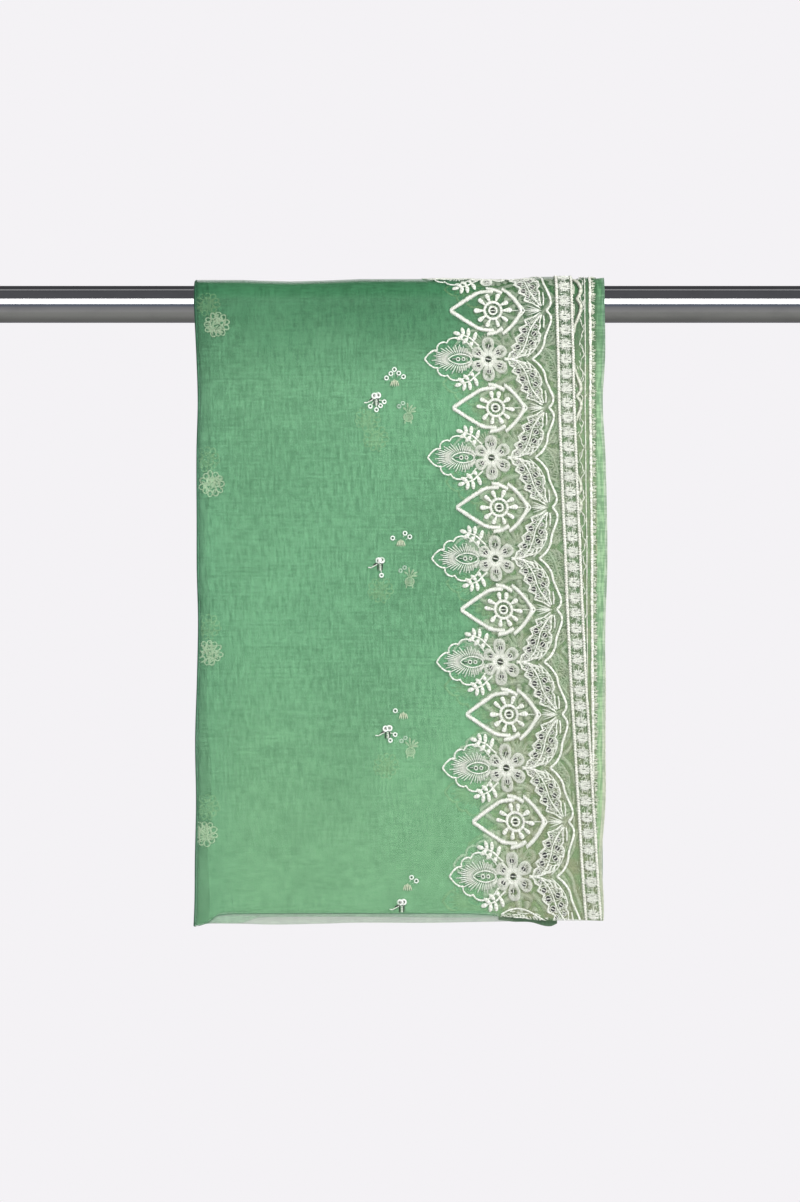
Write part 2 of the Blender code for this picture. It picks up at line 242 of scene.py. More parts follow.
def inner_edge(run):
    return read(OUTLINES, "right", front_drop(run))


# A ply on the form. Its left edge is folded: top is its outer face and base that of the part turned under,
# inset is how far its fold lies inside the outermost one's, and back is the drop of its back hem.
Ply = namedtuple("Ply", "top base inset fold edge hem back")
OUTER = Ply(
    top=outer_top,
    base=lambda place, run: 0.00055 + 0 * run,
    inset=0.0,
    fold=0.0017,
    edge=outer_edge,
    hem="outer",
    back=BACK_DROP,
)
SECOND = Ply(
    top=second_top,
    base=lambda place, run: second_top(place, run) - 0.00075,
    inset=0.0017,
    fold=0.0004,
    edge=second_edge,
    hem="second",
    back=BACK_DROP - 0.0010,
)
INNER = Ply(
    top=core_top,
    base=lambda place, run: 0.00080 + 0 * run,
    inset=0.0020,
    fold=0.0004,
    edge=inner_edge,
    hem="inner",
    back=BACK_DROP - 0.0020,
)


def folded_left(ply, run):
    drop = np.where(run > 0, front_drop(run), np.clip(below(run), 0, STRAIGHT_BACK_DROP))
    return read(OUTLINES, "left", drop) + ply.inset + ply.fold


def lay(ply, place, run, lift=0.0):
    """Points on a ply. Places past its folded left edge go round the fold and back underneath."""
    left = folded_left(ply, run)
    beyond = np.maximum(left - place, 0)
    flat = np.maximum(place, left)
    top, base = ply.top(flat, run), ply.base(flat, run)
    half = (top - base) / 2
    fold_length = math.pi * np.sqrt((half**2 + ply.fold**2) / 2)
    turn = np.minimum(beyond / fold_length, 1) * math.pi
    flat = flat - (ply.fold + lift) * np.sin(turn) + np.maximum(beyond - fold_length, 0)
    return hang(flat, run, base + half + (half + lift) * np.cos(turn))


# ---------------------------------------------------------------- materials


# Factors on the tone of the cloth, among them painted light and shade
DEEP, LIGHT = (0.68, 0.75, 0.72), (1.30, 1.23, 1.27)  # between its threads and along them
PRESSED_AND_RAIL_SHADE = (0.36, 0.56, 0.48)  # where it lies tight over the rail: its deeper tone there, and painted shade of the turn facing away from the light and of the rail behind it
PAINTED_LIGHT_LOW = (1.50, 1.24, 1.26)  # painted light low down, where more light comes through
FOLD_SIDE_LAYERS_AND_SHADE = (0.88, 0.94, 0.94)  # towards the folded left edge: its extra layers, and painted shade where the cloth curves away from the light
FOLD_LINE_DENSE_AND_SHADED = (0.36, 0.42, 0.46)  # along that edge: denser cloth seen edge-on, and painted shade of the rounded fold
PLAIN_TINT, SELVEDGE_TINT = (1.34, 0.87, 0.92), (1.45, 1.12, 1.45)  # beside the long edge, and along it

# The weave's unevenness: how fine each kind is, across and along the cut, and its share of the tone
Grain = namedtuple("Grain", "name scale detail rough share")
GRAINS = (
    Grain("weft", (80, 570, 1), 1, 0.5, 0.32),
    Grain("warp", (570, 70, 1), 1, 0.5, 0.42),
    Grain("slubs", (60, 210, 1), 2, 0.5, 0.04),
    Grain("clouds", (26, 19, 1), 2, 0.6, 0.09),
    Grain("broad", (9, 6, 1), 1, 0.5, 0.13),
)
STREAKS = (0.44, 0.56)  # the range of their sum that goes from deep to light
CALM, CALM_LOW = 0.78, 0.50  # their strength, and how much of it goes low down
THREAD_PITCH = 0.00052

# Where the cloth changes, from none to all of it: drops below the rail's axis, and places from the long edge
LOW_DOWN = (0.250, 0.500)
TIGHT_AND_SHADED = (0.110, -0.030)
TURNS_AWAY = (-0.290, -0.345)
GROUND_COMES = (-0.106, -0.072)
PLAIN_EASE, SELVEDGE, SELVEDGE_EASE = 0.0015, 0.0019, 0.0006

# The border's ground and the flecks on it, with the share of each, and the width of plain cloth beside it
Border = namedtuple("Border", "ground share flecks fleck_share plain")
PATCHES = (0.42, 0.60)  # the range of the noise that goes from ground to flecks


def shade(tone, factor):
    return tuple(value * part for value, part in zip(tone, factor))


def add_node(tree, kind, inputs=(), **settings):
    """A new node with its settings. Each input is given a value, or the output that drives it."""
    node = tree.nodes.new(kind)
    for name, value in settings.items():
        setattr(node, name, value)
    for key, value in dict(inputs).items():
        if isinstance(value, bpy.types.NodeSocket):
            tree.links.new(value, node.inputs[key])
        else:
            node.inputs[key].default_value = value
    return node


class Finish:
    """A Principled material and short ways to add nodes to it."""

    def __init__(self, name, roughness, metallic=0.0, uv_map=None):
        self.material = bpy.data.materials.new(name)
        self.material.use_nodes = True
        self.tree = self.material.node_tree
        self.shader = self.tree.nodes["Principled BSDF"]
        self.shader.inputs["Roughness"].default_value = roughness
        self.shader.inputs["Metallic"].default_value = metallic
        if uv_map:
            self.where = self.add("UVMap", uv_map=uv_map).outputs["UV"]
        else:
            self.where = self.add("TexCoord").outputs["Object"]

    def add(self, kind, inputs=(), **settings):
        return add_node(self.tree, "ShaderNode" + kind, inputs, **settings)

    def drive(self, name, source):
        self.tree.links.new(source, self.shader.inputs[name])

    def mapped(self, scale, turn=0.0):
        inputs = {"Vector": self.where, "Scale": scale, "Rotation": (0, 0, turn)}
        return self.add("Mapping", inputs).outputs["Vector"]

    def noise(self, scale, detail, rough=0.5):
        inputs = {"Vector": self.mapped(scale), "Scale": 1.0, "Detail": detail, "Roughness": rough}
        return self.add("TexNoise", inputs).outputs["Fac"]

    def ribs(self, pitch, turn=0.0):
        """Round ribs a pitch apart, across the first direction of the pattern's map."""
        inputs = {"Vector": self.mapped((1 / pitch, 1 / pitch, 1 / pitch), turn), "Scale": 2 * math.pi / 20}
        return self.add("TexWave", inputs).outputs["Fac"]

    def maths(self, operation, first, second=0.0, clamp=False):
        return self.add("Math", {0: first, 1: second}, operation=operation, use_clamp=clamp).outputs[0]

    def total(self, *parts):
        """The sum of values, each given with its weight."""
        values = [self.maths("MULTIPLY", value, weight) for value, weight in parts]
        result = values[0]
        for value in values[1:]:
            result = self.maths("ADD", result, value)
        return result

    def spread(self, value, low, high):
        """A value from low to high, spread out from 0 to 1 with soft ends."""
        inputs = {"Value": value, "From Min": low, "From Max": high}
        return self.add("MapRange", inputs, interpolation_type="SMOOTHSTEP").outputs["Result"]

    def attribute(self, name):
        return self.add("Attribute", attribute_name=name).outputs["Fac"]

    def apart(self):
        """The two directions of the pattern's map, or the three of the object."""
        return self.add("SeparateXYZ", {0: self.where}).outputs

    def blend(self, share, first, second, kind="MIX"):
        first, second = [(*value, 1.0) if isinstance(value, tuple) else value for value in (first, second)]
        inputs = {"Factor": share, 6: first, 7: second}
        return self.add("Mix", inputs, data_type="RGBA", blend_type=kind).outputs[2]

    def tint(self, share, colour, factor):
        """A colour multiplied by a factor, by a share from 0 to 1."""
        return self.blend(share, colour, factor, kind="MULTIPLY")

    def colour(self, value):
        self.drive("Base Color", value)

    def bump(self, height, distance, strength):
        inputs = {"Height": height, "Strength": strength, "Distance": distance}
        self.drive("Normal", self.add("Bump", inputs).outputs["Normal"])

    def sheen(self, weight, roughness, tint):
        self.shader.inputs["Sheen Weight"].default_value = weight
        self.shader.inputs["Sheen Roughness"].default_value = roughness
        self.shader.inputs["Sheen Tint"].default_value = (*tint, 1.0)


def organza(name, tone, alpha, border=None):
    """Sheer plain-woven cloth, darker where it lies tight over the rail and at its folded edge, by painted
    shade at both, and lighter low down by painted light.
    """
    cloth = Finish(name, roughness=0.5, uv_map="cut")
    across, along = cloth.apart()[:2]
    grains = {grain.name: cloth.noise(*grain[1:4]) for grain in GRAINS}
    low = cloth.spread(along, *(QUARTER + drop for drop in LOW_DOWN))
    streaks = cloth.total(*((grains[grain.name], grain.share) for grain in GRAINS))
    calm = cloth.maths("SUBTRACT", CALM, cloth.maths("MULTIPLY", low, CALM_LOW))
    streaks = cloth.maths("ADD", cloth.maths("MULTIPLY", cloth.maths("SUBTRACT", streaks, 0.5), calm), 0.5)
    streaks = cloth.spread(streaks, *STREAKS)
    colour = cloth.blend(streaks, shade(tone, DEEP), shade(tone, LIGHT))
    if border:
        inside = cloth.spread(across, *GROUND_COMES)
        if border.plain:
            plain = cloth.spread(across, -border.plain - PLAIN_EASE, -border.plain)
            inside = cloth.maths("SUBTRACT", inside, plain, clamp=True)
            colour = cloth.tint(plain, colour, PLAIN_TINT)
            selvedge = cloth.spread(across, -SELVEDGE - SELVEDGE_EASE, -SELVEDGE)
            colour = cloth.tint(selvedge, colour, SELVEDGE_TINT)
        ground = cloth.blend(streaks, shade(border.ground, DEEP), shade(border.ground, LIGHT))
        patches = cloth.spread(cloth.noise((120, 80, 1), detail=2, rough=0.6), *PATCHES)
        ground = cloth.blend(cloth.maths("MULTIPLY", patches, border.fleck_share), ground, border.flecks)
        colour = cloth.blend(cloth.maths("MULTIPLY", inside, border.share), colour, ground)
    # Painted shade over the rail, where the turn faces away from the light and the rail lies behind the
    # cloth; the cloth also lies tight there
    near_rail = cloth.spread(cloth.maths("ABSOLUTE", along), *(QUARTER + drop for drop in TIGHT_AND_SHADED))
    clouds = cloth.maths("MULTIPLY", cloth.maths("SUBTRACT", grains["clouds"], 0.5), 0.9)
    pressed_and_shaded = cloth.spread(cloth.maths("ADD", near_rail, clouds), 0.0, 1.0)
    pressed_and_shaded = cloth.maths("MULTIPLY", pressed_and_shaded, cloth.spread(near_rail, 0.0, 0.3))
    colour = cloth.tint(pressed_and_shaded, colour, PRESSED_AND_RAIL_SHADE)
    # Painted shade towards the folded left edge, where the cloth curves away from the light, over its extra
    # layers
    colour = cloth.tint(cloth.spread(across, *TURNS_AWAY), colour, FOLD_SIDE_LAYERS_AND_SHADE)
    # Painted light low down, where more light comes through the cloth
    colour = cloth.tint(cloth.maths("MULTIPLY", low, 0.8), colour, PAINTED_LIGHT_LOW)
    # The dark fold line: denser cloth seen edge-on, and painted shade of the rounded fold
    cloth.colour(cloth.tint(cloth.attribute("fold"), colour, FOLD_LINE_DENSE_AND_SHADED))
    weave = cloth.maths("ADD", cloth.ribs(THREAD_PITCH), cloth.ribs(THREAD_PITCH, math.pi / 2))
    height = cloth.total((weave, 0.05), (grains["weft"], 0.2), (grains["warp"], 0.4))
    cloth.bump(height, distance=0.00016, strength=0.5)
    cloth.sheen(weight=0.2, roughness=0.4, tint=(0.86, 1.0, 0.88))
    cloth.shader.inputs["Alpha"].default_value = alpha
    return cloth.material


TURN_PITCH, TURN_LEAN = 0.42, 16  # of a thread's turns, in millimetres and degrees


def stitched(name, bright, dull_and_shaded, edge):
    """Satin thread: turns across each stroke, of uneven tone, with painted shade in the grooves between turns
    and along its sides where they go into the cloth.
    """
    thread = Finish(name, roughness=0.42, uv_map="stitch")
    around = thread.apart()[1]
    turns = thread.ribs(TURN_PITCH, math.radians(TURN_LEAN))
    lengths = thread.noise((0.5, 0.8, 1), detail=1)
    grain = thread.noise((1.3, 1.2, 1), detail=1)
    # The dull tone: uneven thread, and painted shade in the grooves between turns
    tone = thread.total((turns, 0.12), (lengths, 0.33), (grain, 0.55))
    colour = thread.blend(thread.spread(tone, 0.40, 0.58), dull_and_shaded, bright)
    # Painted shade along the thread's sides, where it goes into the cloth
    side = thread.maths("ABSOLUTE", thread.maths("SUBTRACT", around, 1.0))
    thread.colour(thread.blend(thread.spread(side, 0.34, 0.66), colour, edge))
    thread.bump(turns, distance=0.00016, strength=0.7)
    thread.sheen(weight=0.15, roughness=0.35, tint=(1.0, 1.0, 0.96))
    return thread.material


def rubbed_foil(name, dark, bright, roughness):
    """The sequins' finish, slightly uneven and rubbed."""
    foil_and_shade = Finish(name, roughness=roughness)
    rubs = foil_and_shade.noise((900, 900, 900), detail=1)
    foil_and_shade.colour(foil_and_shade.blend(foil_and_shade.spread(rubs, 0.35, 0.65), dark, bright))
    foil_and_shade.bump(rubs, distance=0.0001, strength=0.5)
    return foil_and_shade.material


def chromed():
    """Polished chrome with faint drawn lines along the tube and light wear."""
    chrome = Finish("polished_chrome", roughness=0.06, metallic=1.0)
    lines = chrome.noise((3, 900, 900), detail=2)
    wear = chrome.noise((26, 60, 60), detail=4, rough=0.65)
    chrome.colour(chrome.blend(chrome.spread(wear, 0.4, 0.75), (0.74, 0.745, 0.76), (0.66, 0.665, 0.68)))
    rough = chrome.maths("MULTIPLY", chrome.spread(wear, 0.3, 0.9), 0.05)
    chrome.drive("Roughness", chrome.maths("ADD", rough, 0.05))
    chrome.bump(lines, distance=0.00002, strength=0.12)
    return chrome.material


# ---------------------------------------------------------------- making pieces


def unselect_all():
    bpy.ops.object.select_all(action="DESELECT")


def finish_piece(thing, material, nodes):
    thing.data.materials.clear()
    thing.data.materials.append(material)
    thing.data.shade_smooth()
    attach(thing, "root")
    if nodes:
        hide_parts(*nodes)
    return thing


def spaced(start, end, step):
    count = max(round(abs(end - start) / step), 1)
    return np.linspace(start, end, count + 1)


def woven_grid(name, columns, rows):
    """A flat grid whose points are then placed by their column and row."""
    unselect_all()
    bpy.ops.mesh.primitive_grid_add(
        x_subdivisions=len(columns) - 1, y_subdivisions=len(rows) - 1, size=2, location=(0, 0, 0)
    )
    sheet = bpy.context.active_object
    sheet.name = name
    flat = np.empty((len(sheet.data.vertices), 3))
    sheet.data.vertices.foreach_get("co", flat.ravel())
    column = np.rint((flat[:, 0] + 1) / 2 * (len(columns) - 1)).astype(int)
    row = np.rint((1 - flat[:, 1]) / 2 * (len(rows) - 1)).astype(int)
    return sheet, np.asarray(columns)[column], np.asarray(rows)[row]


def place_sheet(sheet, points, cut, fold=None):
    """Move a grid's points into place, write its cut pattern as the UV map, and give it its thickness."""
    mesh = sheet.data
    mesh.vertices.foreach_set("co", points.astype(np.float32).ravel())
    while mesh.uv_layers:
        mesh.uv_layers.remove(mesh.uv_layers[0])
    layer = mesh.uv_layers.new(name="cut")
    corners = np.empty(len(mesh.loops), dtype=np.int32)
    mesh.loops.foreach_get("vertex_index", corners)
    layer.uv.foreach_set("vector", cut[corners].astype(np.float32).ravel())
    line = mesh.attributes.new("fold", "FLOAT", "POINT")
    line.data.foreach_set("value", (np.zeros(len(points)) if fold is None else fold).astype(np.float32))
    mesh.update()
    wall = sheet.modifiers.new("wall", "SOLIDIFY")
    wall.thickness = CLOTH_THICKNESS
    wall.offset = -1
    bpy.context.view_layer.objects.active = sheet
    bpy.ops.object.modifier_apply(modifier=wall.name)


def run_rows(front_step, turn_step):
    """Row marks from the front hem, 2, over the turn, 1 to -1, to the back hem, -2."""
    front = spaced(2, 1, front_step / FRONT_DROP)
    turn = spaced(1, -1, turn_step / QUARTER)
    return np.concatenate((front, turn[1:], -front[::-1][1:]))


def run_of(mark, front_hem, back_hem):
    front = QUARTER + (mark - 1) * front_hem
    back = -QUARTER + (mark + 1) * back_hem
    return np.where(mark > 1, front, np.where(mark < -1, back, mark * QUARTER))


# A ply's columns lie close together round its fold and wider apart on its return
FOLD_REACH, FOLD_STEP = 0.0082, 0.0006
RETURN_STARTS, RETURN_STEP = 0.0090, 0.010
TURN_STEP = 0.0026  # between its rows over the rail
SHORT_RETURN, RAGGED = 0.05, 0.30  # a shorter return than this has a ragged edge
FOLD_ALLOWANCE = 0.006  # what the turn round the fold takes up of the cut


def make_ply(name, ply, returns, step, material, nodes, pressed_and_shaded=None):
    """A ply from its long edge to its folded left edge, and on under it for the length of its return."""
    fold_marks = spaced(returns, RETURN_STARTS, RETURN_STEP), spaced(FOLD_REACH, FOLD_STEP, FOLD_STEP)
    columns = np.concatenate((-np.concatenate(fold_marks), spaced(0, 1, step / 0.35)))
    sheet, mark, row = woven_grid(name, columns, run_rows(step * 1.3, TURN_STEP))
    guess = run_of(row, FRONT_DROP, ply.back)
    left, right = folded_left(ply, guess), ply.edge(guess)
    place = np.where(mark < 0, left + mark, left + mark * (right - left))
    seen_at = np.where(place < left, 2 * left - place, place)
    run = run_of(row, read(HEMS, ply.hem, seen_at), ply.back)
    left, right = folded_left(ply, run), ply.edge(run)
    ragged = 1 + RAGGED * np.sin(run * 31) * np.sin(run * 17 + 1) if returns < SHORT_RETURN else 1.0
    place = np.where(mark < 0, left + mark * ragged, left + mark * (right - left))
    fold = np.exp(-(((left - ply.fold - place) / FOLD_LINE_WIDTH) ** 2)) if pressed_and_shaded else None
    place_sheet(sheet, lay(ply, place, run), np.stack((place - right, run), axis=-1), fold)
    width = returns + FOLD_ALLOWANCE + float(np.mean(right - left))
    length = FRONT_DROP + ply.back + 2 * QUARTER
    finish_piece(sheet, material, nodes)
    # Faces along the fold line take the near-opaque fold finish; their darker tone is partly painted shade
    if pressed_and_shaded:
        sheet.data.materials.append(pressed_and_shaded)
        value = np.empty(len(sheet.data.vertices), dtype=np.float32)
        sheet.data.attributes["fold"].data.foreach_get("value", value)
        for face in sheet.data.polygons:
            face.material_index = int(min(value[v] for v in face.vertices) > PRESSED_FOLD)
    return sheet, (width, length)


# ---------------------------------------------------------------- stitches and sequins

STITCH_STEP = 1.25  # between the points of a thread's line, in millimetres
SUNK = 0.10  # how far a thread is pulled into the cloth
SEQUIN_WALL, SEQUIN_LIFT = 0.35, 0.15  # how thick a sequin is, and how far it stands off the cloth

# Along a stitch and a leaflet: where their widths are given, and how full they are there
STROKE_PARTS, STROKE_WIDTHS = np.array((0.0, 0.3, 0.75, 1.0)), (0.55, 1.0, 0.8)
LEAFLET_PARTS = np.array((0.0, 0.14, 0.4, 0.7, 0.92, 1.0))
LEAFLET_WIDTHS = np.array((0.22, 0.72, 1.0, 0.95, 0.55, 0.18))


def through(spots, step=STITCH_STEP, closed=False):
    """A smooth line through a few spots."""
    spots = np.array(spots, dtype=float)
    if closed:
        ends = np.vstack((spots[-1:], spots, spots[:2]))
    else:
        ends = np.vstack((2 * spots[0] - spots[1], spots, 2 * spots[-1] - spots[-2]))
    line = []
    for before, start, end, after in zip(ends, ends[1:], ends[2:], ends[3:]):
        count = max(math.ceil(np.linalg.norm(end - start) / step), 1)
        part = np.arange(count)[:, None] / count
        square = before - 2.5 * start + 2 * end - after / 2
        cube = (after - before) / 2 + 1.5 * (start - end)
        line.append(start + part * (end - before) / 2 + part**2 * square + part**3 * cube)
    if not closed:
        line.append(spots[-1:])
    return np.vstack(line)


def arc(centre, radius, first=0.0, last=360.0, step=STITCH_STEP):
    """Points on an arc, in degrees; a whole ring leaves out its last point."""
    radius = np.broadcast_to(radius, 2)
    count = max(math.ceil(math.radians(abs(last - first)) * max(radius) / step), 6)
    whole = abs(last - first) >= 360
    turn = np.radians(np.linspace(first, last, count + 1)[: count if whole else None])
    return np.stack((centre[0] + radius[0] * np.cos(turn), centre[1] + radius[1] * np.sin(turn)), axis=-1)


def ray(centre, degrees, distance):
    turn = math.radians(degrees)
    return np.array((centre[0] + distance * math.cos(turn), centre[1] + distance * math.sin(turn)))


class Stitches:
    """Raised threads or sequins on flat cloth, in millimetres: across, up the cloth, and out of it."""

    def __init__(self, plump=1.0, sides=6):
        self.points, self.sewn, self.quads, self.count = [], [], [], 0
        self.plump, self.most_sides = plump, sides  # a factor on widths, and the limit of a thread's sides

    def keep(self, points, sewn, quads):
        self.points.append(points)
        self.sewn.append(sewn)
        self.quads.append(np.asarray(quads) + self.count)
        self.count += len(points)

    def thread(self, line, half_width, height, sides=6, closed=False, uneven=0.0, base=0.0):
        """A padded thread along a line, domed across."""
        line = np.asarray(line, dtype=float)
        sides = min(sides, self.most_sides)
        ahead = np.roll(line, -1, 0) - np.roll(line, 1, 0) if closed else np.gradient(line, axis=0)
        ahead /= np.maximum(np.linalg.norm(ahead, axis=1, keepdims=True), 1e-9)
        steps = np.linalg.norm(np.diff(line, axis=0), axis=1)
        along = np.concatenate(((0,), np.cumsum(steps)))
        width = np.broadcast_to(half_width, len(line)) * (1 + uneven * chance.uniform(-1, 1, len(line)))
        tall = np.broadcast_to(height, len(line)) * (1 + uneven * chance.uniform(-0.6, 0.6, len(line)))
        turn = -math.pi / 2 + 2 * math.pi * np.arange(sides) / sides
        out = width[:, None] * np.cos(turn) * self.plump
        rise = tall[:, None] * (1 + np.sin(turn)) / 2 - SUNK + base
        points = np.stack((line[:, :1] - ahead[:, 1:] * out, line[:, 1:] + ahead[:, :1] * out, rise), axis=-1)
        sewn = np.stack(np.broadcast_arrays(along[:, None], np.arange(sides) / sides * 2.0), axis=-1)
        rings = np.arange(len(line) * sides).reshape(len(line), sides)
        here = rings if closed else rings[:-1]
        after = np.roll(rings, -1, 0) if closed else rings[1:]
        walls = np.stack((here, np.roll(here, -1, 1), np.roll(after, -1, 1), after), axis=-1).reshape(-1, 4)
        caps = []
        if not closed:
            for i in range(1, sides - 1, 2):
                caps.append(rings[0][[i + 2 if i + 2 < sides else 0, i + 1, i, 0]])
                caps.append(rings[-1][[0, i, i + 1, i + 2]])
        quads = np.vstack([walls, *caps]) if caps else walls
        self.keep(points.reshape(-1, 3), sewn.reshape(-1, 2), quads)

    def stroke(self, start, end, half_width, height=0.5, sides=4, base=0.0, tail=0.35):
        """A short straight stitch, fullest near its start. Coarse work, of few sides, has it plain."""
        start, end = np.asarray(start, dtype=float), np.asarray(end, dtype=float)
        if self.most_sides > 4:
            part, full = STROKE_PARTS, np.array((*STROKE_WIDTHS, tail))
        else:
            part, full = np.array((0.0, 1.0)), np.array((0.9, (0.9 + tail) / 2))
        self.thread(start + part[:, None] * (end - start), half_width * full, height * full, sides, base=base)

    def aimed(self, start, degrees, length, **size):
        self.stroke(start, ray(start, degrees, length), **size)

    def centred(self, middle, degrees, reach, **size):
        self.stroke(ray(middle, degrees, -reach), ray(middle, degrees, reach), **size)

    def leaflet(self, middle, degrees, length, width, height):
        """A plump satin-stitched leaf with a blunt base and a rounded tip."""
        start, end = ray(middle, degrees, -length / 2), ray(middle, degrees, length / 2)
        line = start + LEAFLET_PARTS[:, None] * (end - start)
        self.thread(line, LEAFLET_WIDTHS * width / 2, height * LEAFLET_WIDTHS**0.6)

    def overcast(self, line, half_width, height, pitch, lean, base):
        """Satin stitches side by side over a line, each leaning from straight across it by lean degrees."""
        line = np.asarray(line, dtype=float)
        steps = np.concatenate(((0,), np.cumsum(np.linalg.norm(np.diff(line, axis=0), axis=1))))
        spots = spaced(pitch / 2, steps[-1] - pitch / 2, pitch)
        middles = np.stack([np.interp(spots, steps, line[:, i]) for i in (0, 1)], axis=-1)
        ahead = np.gradient(middles, axis=0)
        for middle, (across, up) in zip(middles, ahead):
            degrees = math.degrees(math.atan2(up, across)) + 90 - lean + chance.uniform(-7, 7)
            reach = half_width * chance.uniform(0.88, 1.12)
            self.centred(middle, degrees, reach, half_width=pitch * 0.46, height=height, base=base, tail=0.5)

    def washer(self, middle, outer, inner, tilt=(0.0, 0.0), around=12):
        """A flat ring, tilted by tilt: what it rises by for each millimetre across and up."""
        line = arc(middle, (outer + inner) / 2, step=2 * math.pi * outer / around)
        self.thread(line, (outer - inner) / 2, SEQUIN_WALL, sides=4, closed=True, base=SEQUIN_LIFT + SUNK)
        points = self.points[-1]
        points[:, 2] += (points[:, 0] - middle[0]) * tilt[0] + (points[:, 1] - middle[1]) * tilt[1]

    def gather(self):
        return np.vstack(self.points), np.vstack(self.sewn), np.vstack(self.quads)


class Design:
    """A piece of embroidery: its threads, its sequins and the painted shadows between them."""

    def __init__(self, plump=1.0, sides=6):
        self.threads, self.sequins, self.painted_shadows = Stitches(plump, sides), Stitches(), Stitches()

    def loose_sequin(self, middle, outer, inner, tilt=0.1, around=12):
        """A ring sequin, tilted by chance."""
        self.sequins.washer(middle, outer, inner, tilt=chance.uniform(-tilt, tilt, 2), around=around)

    def sequin(self, middle, outer, inner, sewn_down, rim=True):
        """A ring sequin with a rim of thread, held by a stitch across its hole."""
        self.loose_sequin(middle, outer, inner)
        self.threads.centred(middle, sewn_down, outer * 1.1, half_width=0.46, height=0.6, base=0.35, tail=0.9)
        if rim:
            self.threads.thread(arc(middle, outer + 0.25), 0.3, 0.7, closed=True, sides=4, base=0.2)


# A spot on a ply: its place in millimetres, its run in metres, and the stretch of what is sewn there
Spot = namedtuple("Spot", "place run stretch")


def repeated(stitches, spots):
    """The stitches copied to each spot."""
    points, sewn, quads = stitches.gather()
    copies = []
    for spot in spots:
        placed = points.copy()
        placed[:, 0] += spot.place
        placed[:, 1] = placed[:, 1] * spot.stretch - spot.run / MM
        copies.append(placed)
    shifts = np.arange(len(copies))[:, None, None] * len(points)
    return np.vstack(copies), np.tile(sewn, (len(copies), 1)), (quads[None] + shifts).reshape(-1, 4)


def cut_off(mesh, spot, upward, keep_above):
    """Cut a flat mesh across the cloth through a spot, square to upward, and close what was cut."""
    made = bmesh.new()
    made.from_mesh(mesh)
    found = bmesh.ops.bisect_plane(
        made,
        geom=made.verts[:] + made.edges[:] + made.faces[:],
        dist=0.001,
        plane_co=(*spot, 0),
        plane_no=(*upward, 0),
        clear_inner=keep_above,
        clear_outer=not keep_above,
    )
    edges = [e for e in found["geom_cut"] if isinstance(e, bmesh.types.BMEdge) and e.is_boundary]
    bmesh.ops.holes_fill(made, edges=edges, sides=0)
    made.to_mesh(mesh)
    made.free()


def sew_on(name, ply, work, material, nodes=(), hems=None, askew=True, corner=None):
    """Lay flat stitches on a ply. askew measures places from the ply's long edge, else they are along X."""
    points, sewn, quads = work
    mesh = bpy.data.meshes.new(name)
    mesh.from_pydata(points.tolist(), [], quads.tolist())
    layer = mesh.uv_layers.new(name="stitch")
    layer.uv.foreach_set("vector", sewn[quads.ravel()].astype(np.float32).ravel())
    if hems:
        cut_off(mesh, (0, -hems[0] / MM), (0, 1), True)
        cut_off(mesh, (0, -hems[1] / MM), (0, 1), False)
    if corner:
        cut_off(mesh, *corner, True)
    flat = np.empty((len(mesh.vertices), 3))
    mesh.vertices.foreach_get("co", flat.ravel())
    run = -flat[:, 1] * MM
    place = flat[:, 0] * MM + (ply.edge(run) if askew else 0.0)
    mesh.vertices.foreach_set("co", lay(ply, place, run, flat[:, 2] * MM).astype(np.float32).ravel())
    mesh.update()
    thing = bpy.data.objects.new(name, mesh)
    bpy.context.scene.collection.objects.link(thing)
    return finish_piece(thing, material, nodes)


# ---------------------------------------------------------------- the border's motifs
# Drawn about the middle of the six-petalled flower, with the braid to the right.

HALF_PITCH = 42.5
FLOWER_IN = 60.3  # from the flower's middle to the braid's inner cord
NODE = (47.0, -HALF_PITCH)  # where the big leaves meet beside each medallion
MEDALLION = (5.0, -HALF_PITCH)
EYE = (-24.5, 0.0)

# A line of thread: its size and the spots that it runs through
Line = namedtuple("Line", "half_width height sides uneven spots")
SCALLOP = (
    Line(1.05, 1.0, 6, 0.15, (
        *((37.8, 0), (43.5, -4.8), (47.8, -11.5), (49.4, -19)),
        *((52.4, -26.5), (54.8, -33), (54.4, -38), (51.0, -42.5)),
    )),
    Line(0.5, 0.6, 4, 0.2, ((33.0, -1.5), (39.5, -7.5), (44.0, -14.5), (45.8, -21))),
    Line(0.75, 0.8, 4, 0.2, ((48.2, -27.5), (48.8, -33), (48.4, -38))),
)
OGEE_LOBES = (
    Line(0.74, 0.95, 6, 0.25, ((-55, 0), (-51.2, 4.6), (-47.0, 7.4), (-43.6, 7.6))),
    Line(0.74, 0.95, 6, 0.25, ((-43.8, 7.4), (-43.9, 10.6), (-41.4, 13.7), (-37.6, 14.8), (-35.6, 14.0))),
    Line(0.74, 0.95, 6, 0.25, (
        (-35.8, 13.8), (-33.2, 17.2), (-28.4, 18.5), (-22.4, 17.2), (-17, 13.6), (-13.5, 9.0)
    )),
)
SPRIG_STEM = Line(0.8, 0.9, 6, 0.15, ((-7.6, 11.4), (-11.2, 14.4), (-16.0, 18.8), (-23.4, 21.6)))
TURNED_SCALLOP = (
    Line(0.75, 0.85, 6, 0.2, (
        (-12.5, -29.5), (-6, -26.2), (2, -24.8), (10, -26.4), (18, -30.4), (29, -36.4)
    )),
    Line(0.5, 0.7, 6, 0.2, ((-9, -34.2), (-3, -32.2), (5, -31.6), (12, -33.2), (20, -37.2))),
)
LEAF_BASE = Line(0.72, 0.9, 6, 0.18, ((14.5, -0.8), (20.5, 0.4), (26.0, 1.6), (31.5, 4.6), (33.5, 8.0)))
FLOWER_LEG = Line(0.5, 0.7, 6, 0.15, ((-2.6, -2.6), (-5.4, -4.2), (-8.2, -5.6), (-10.4, -5.2)))


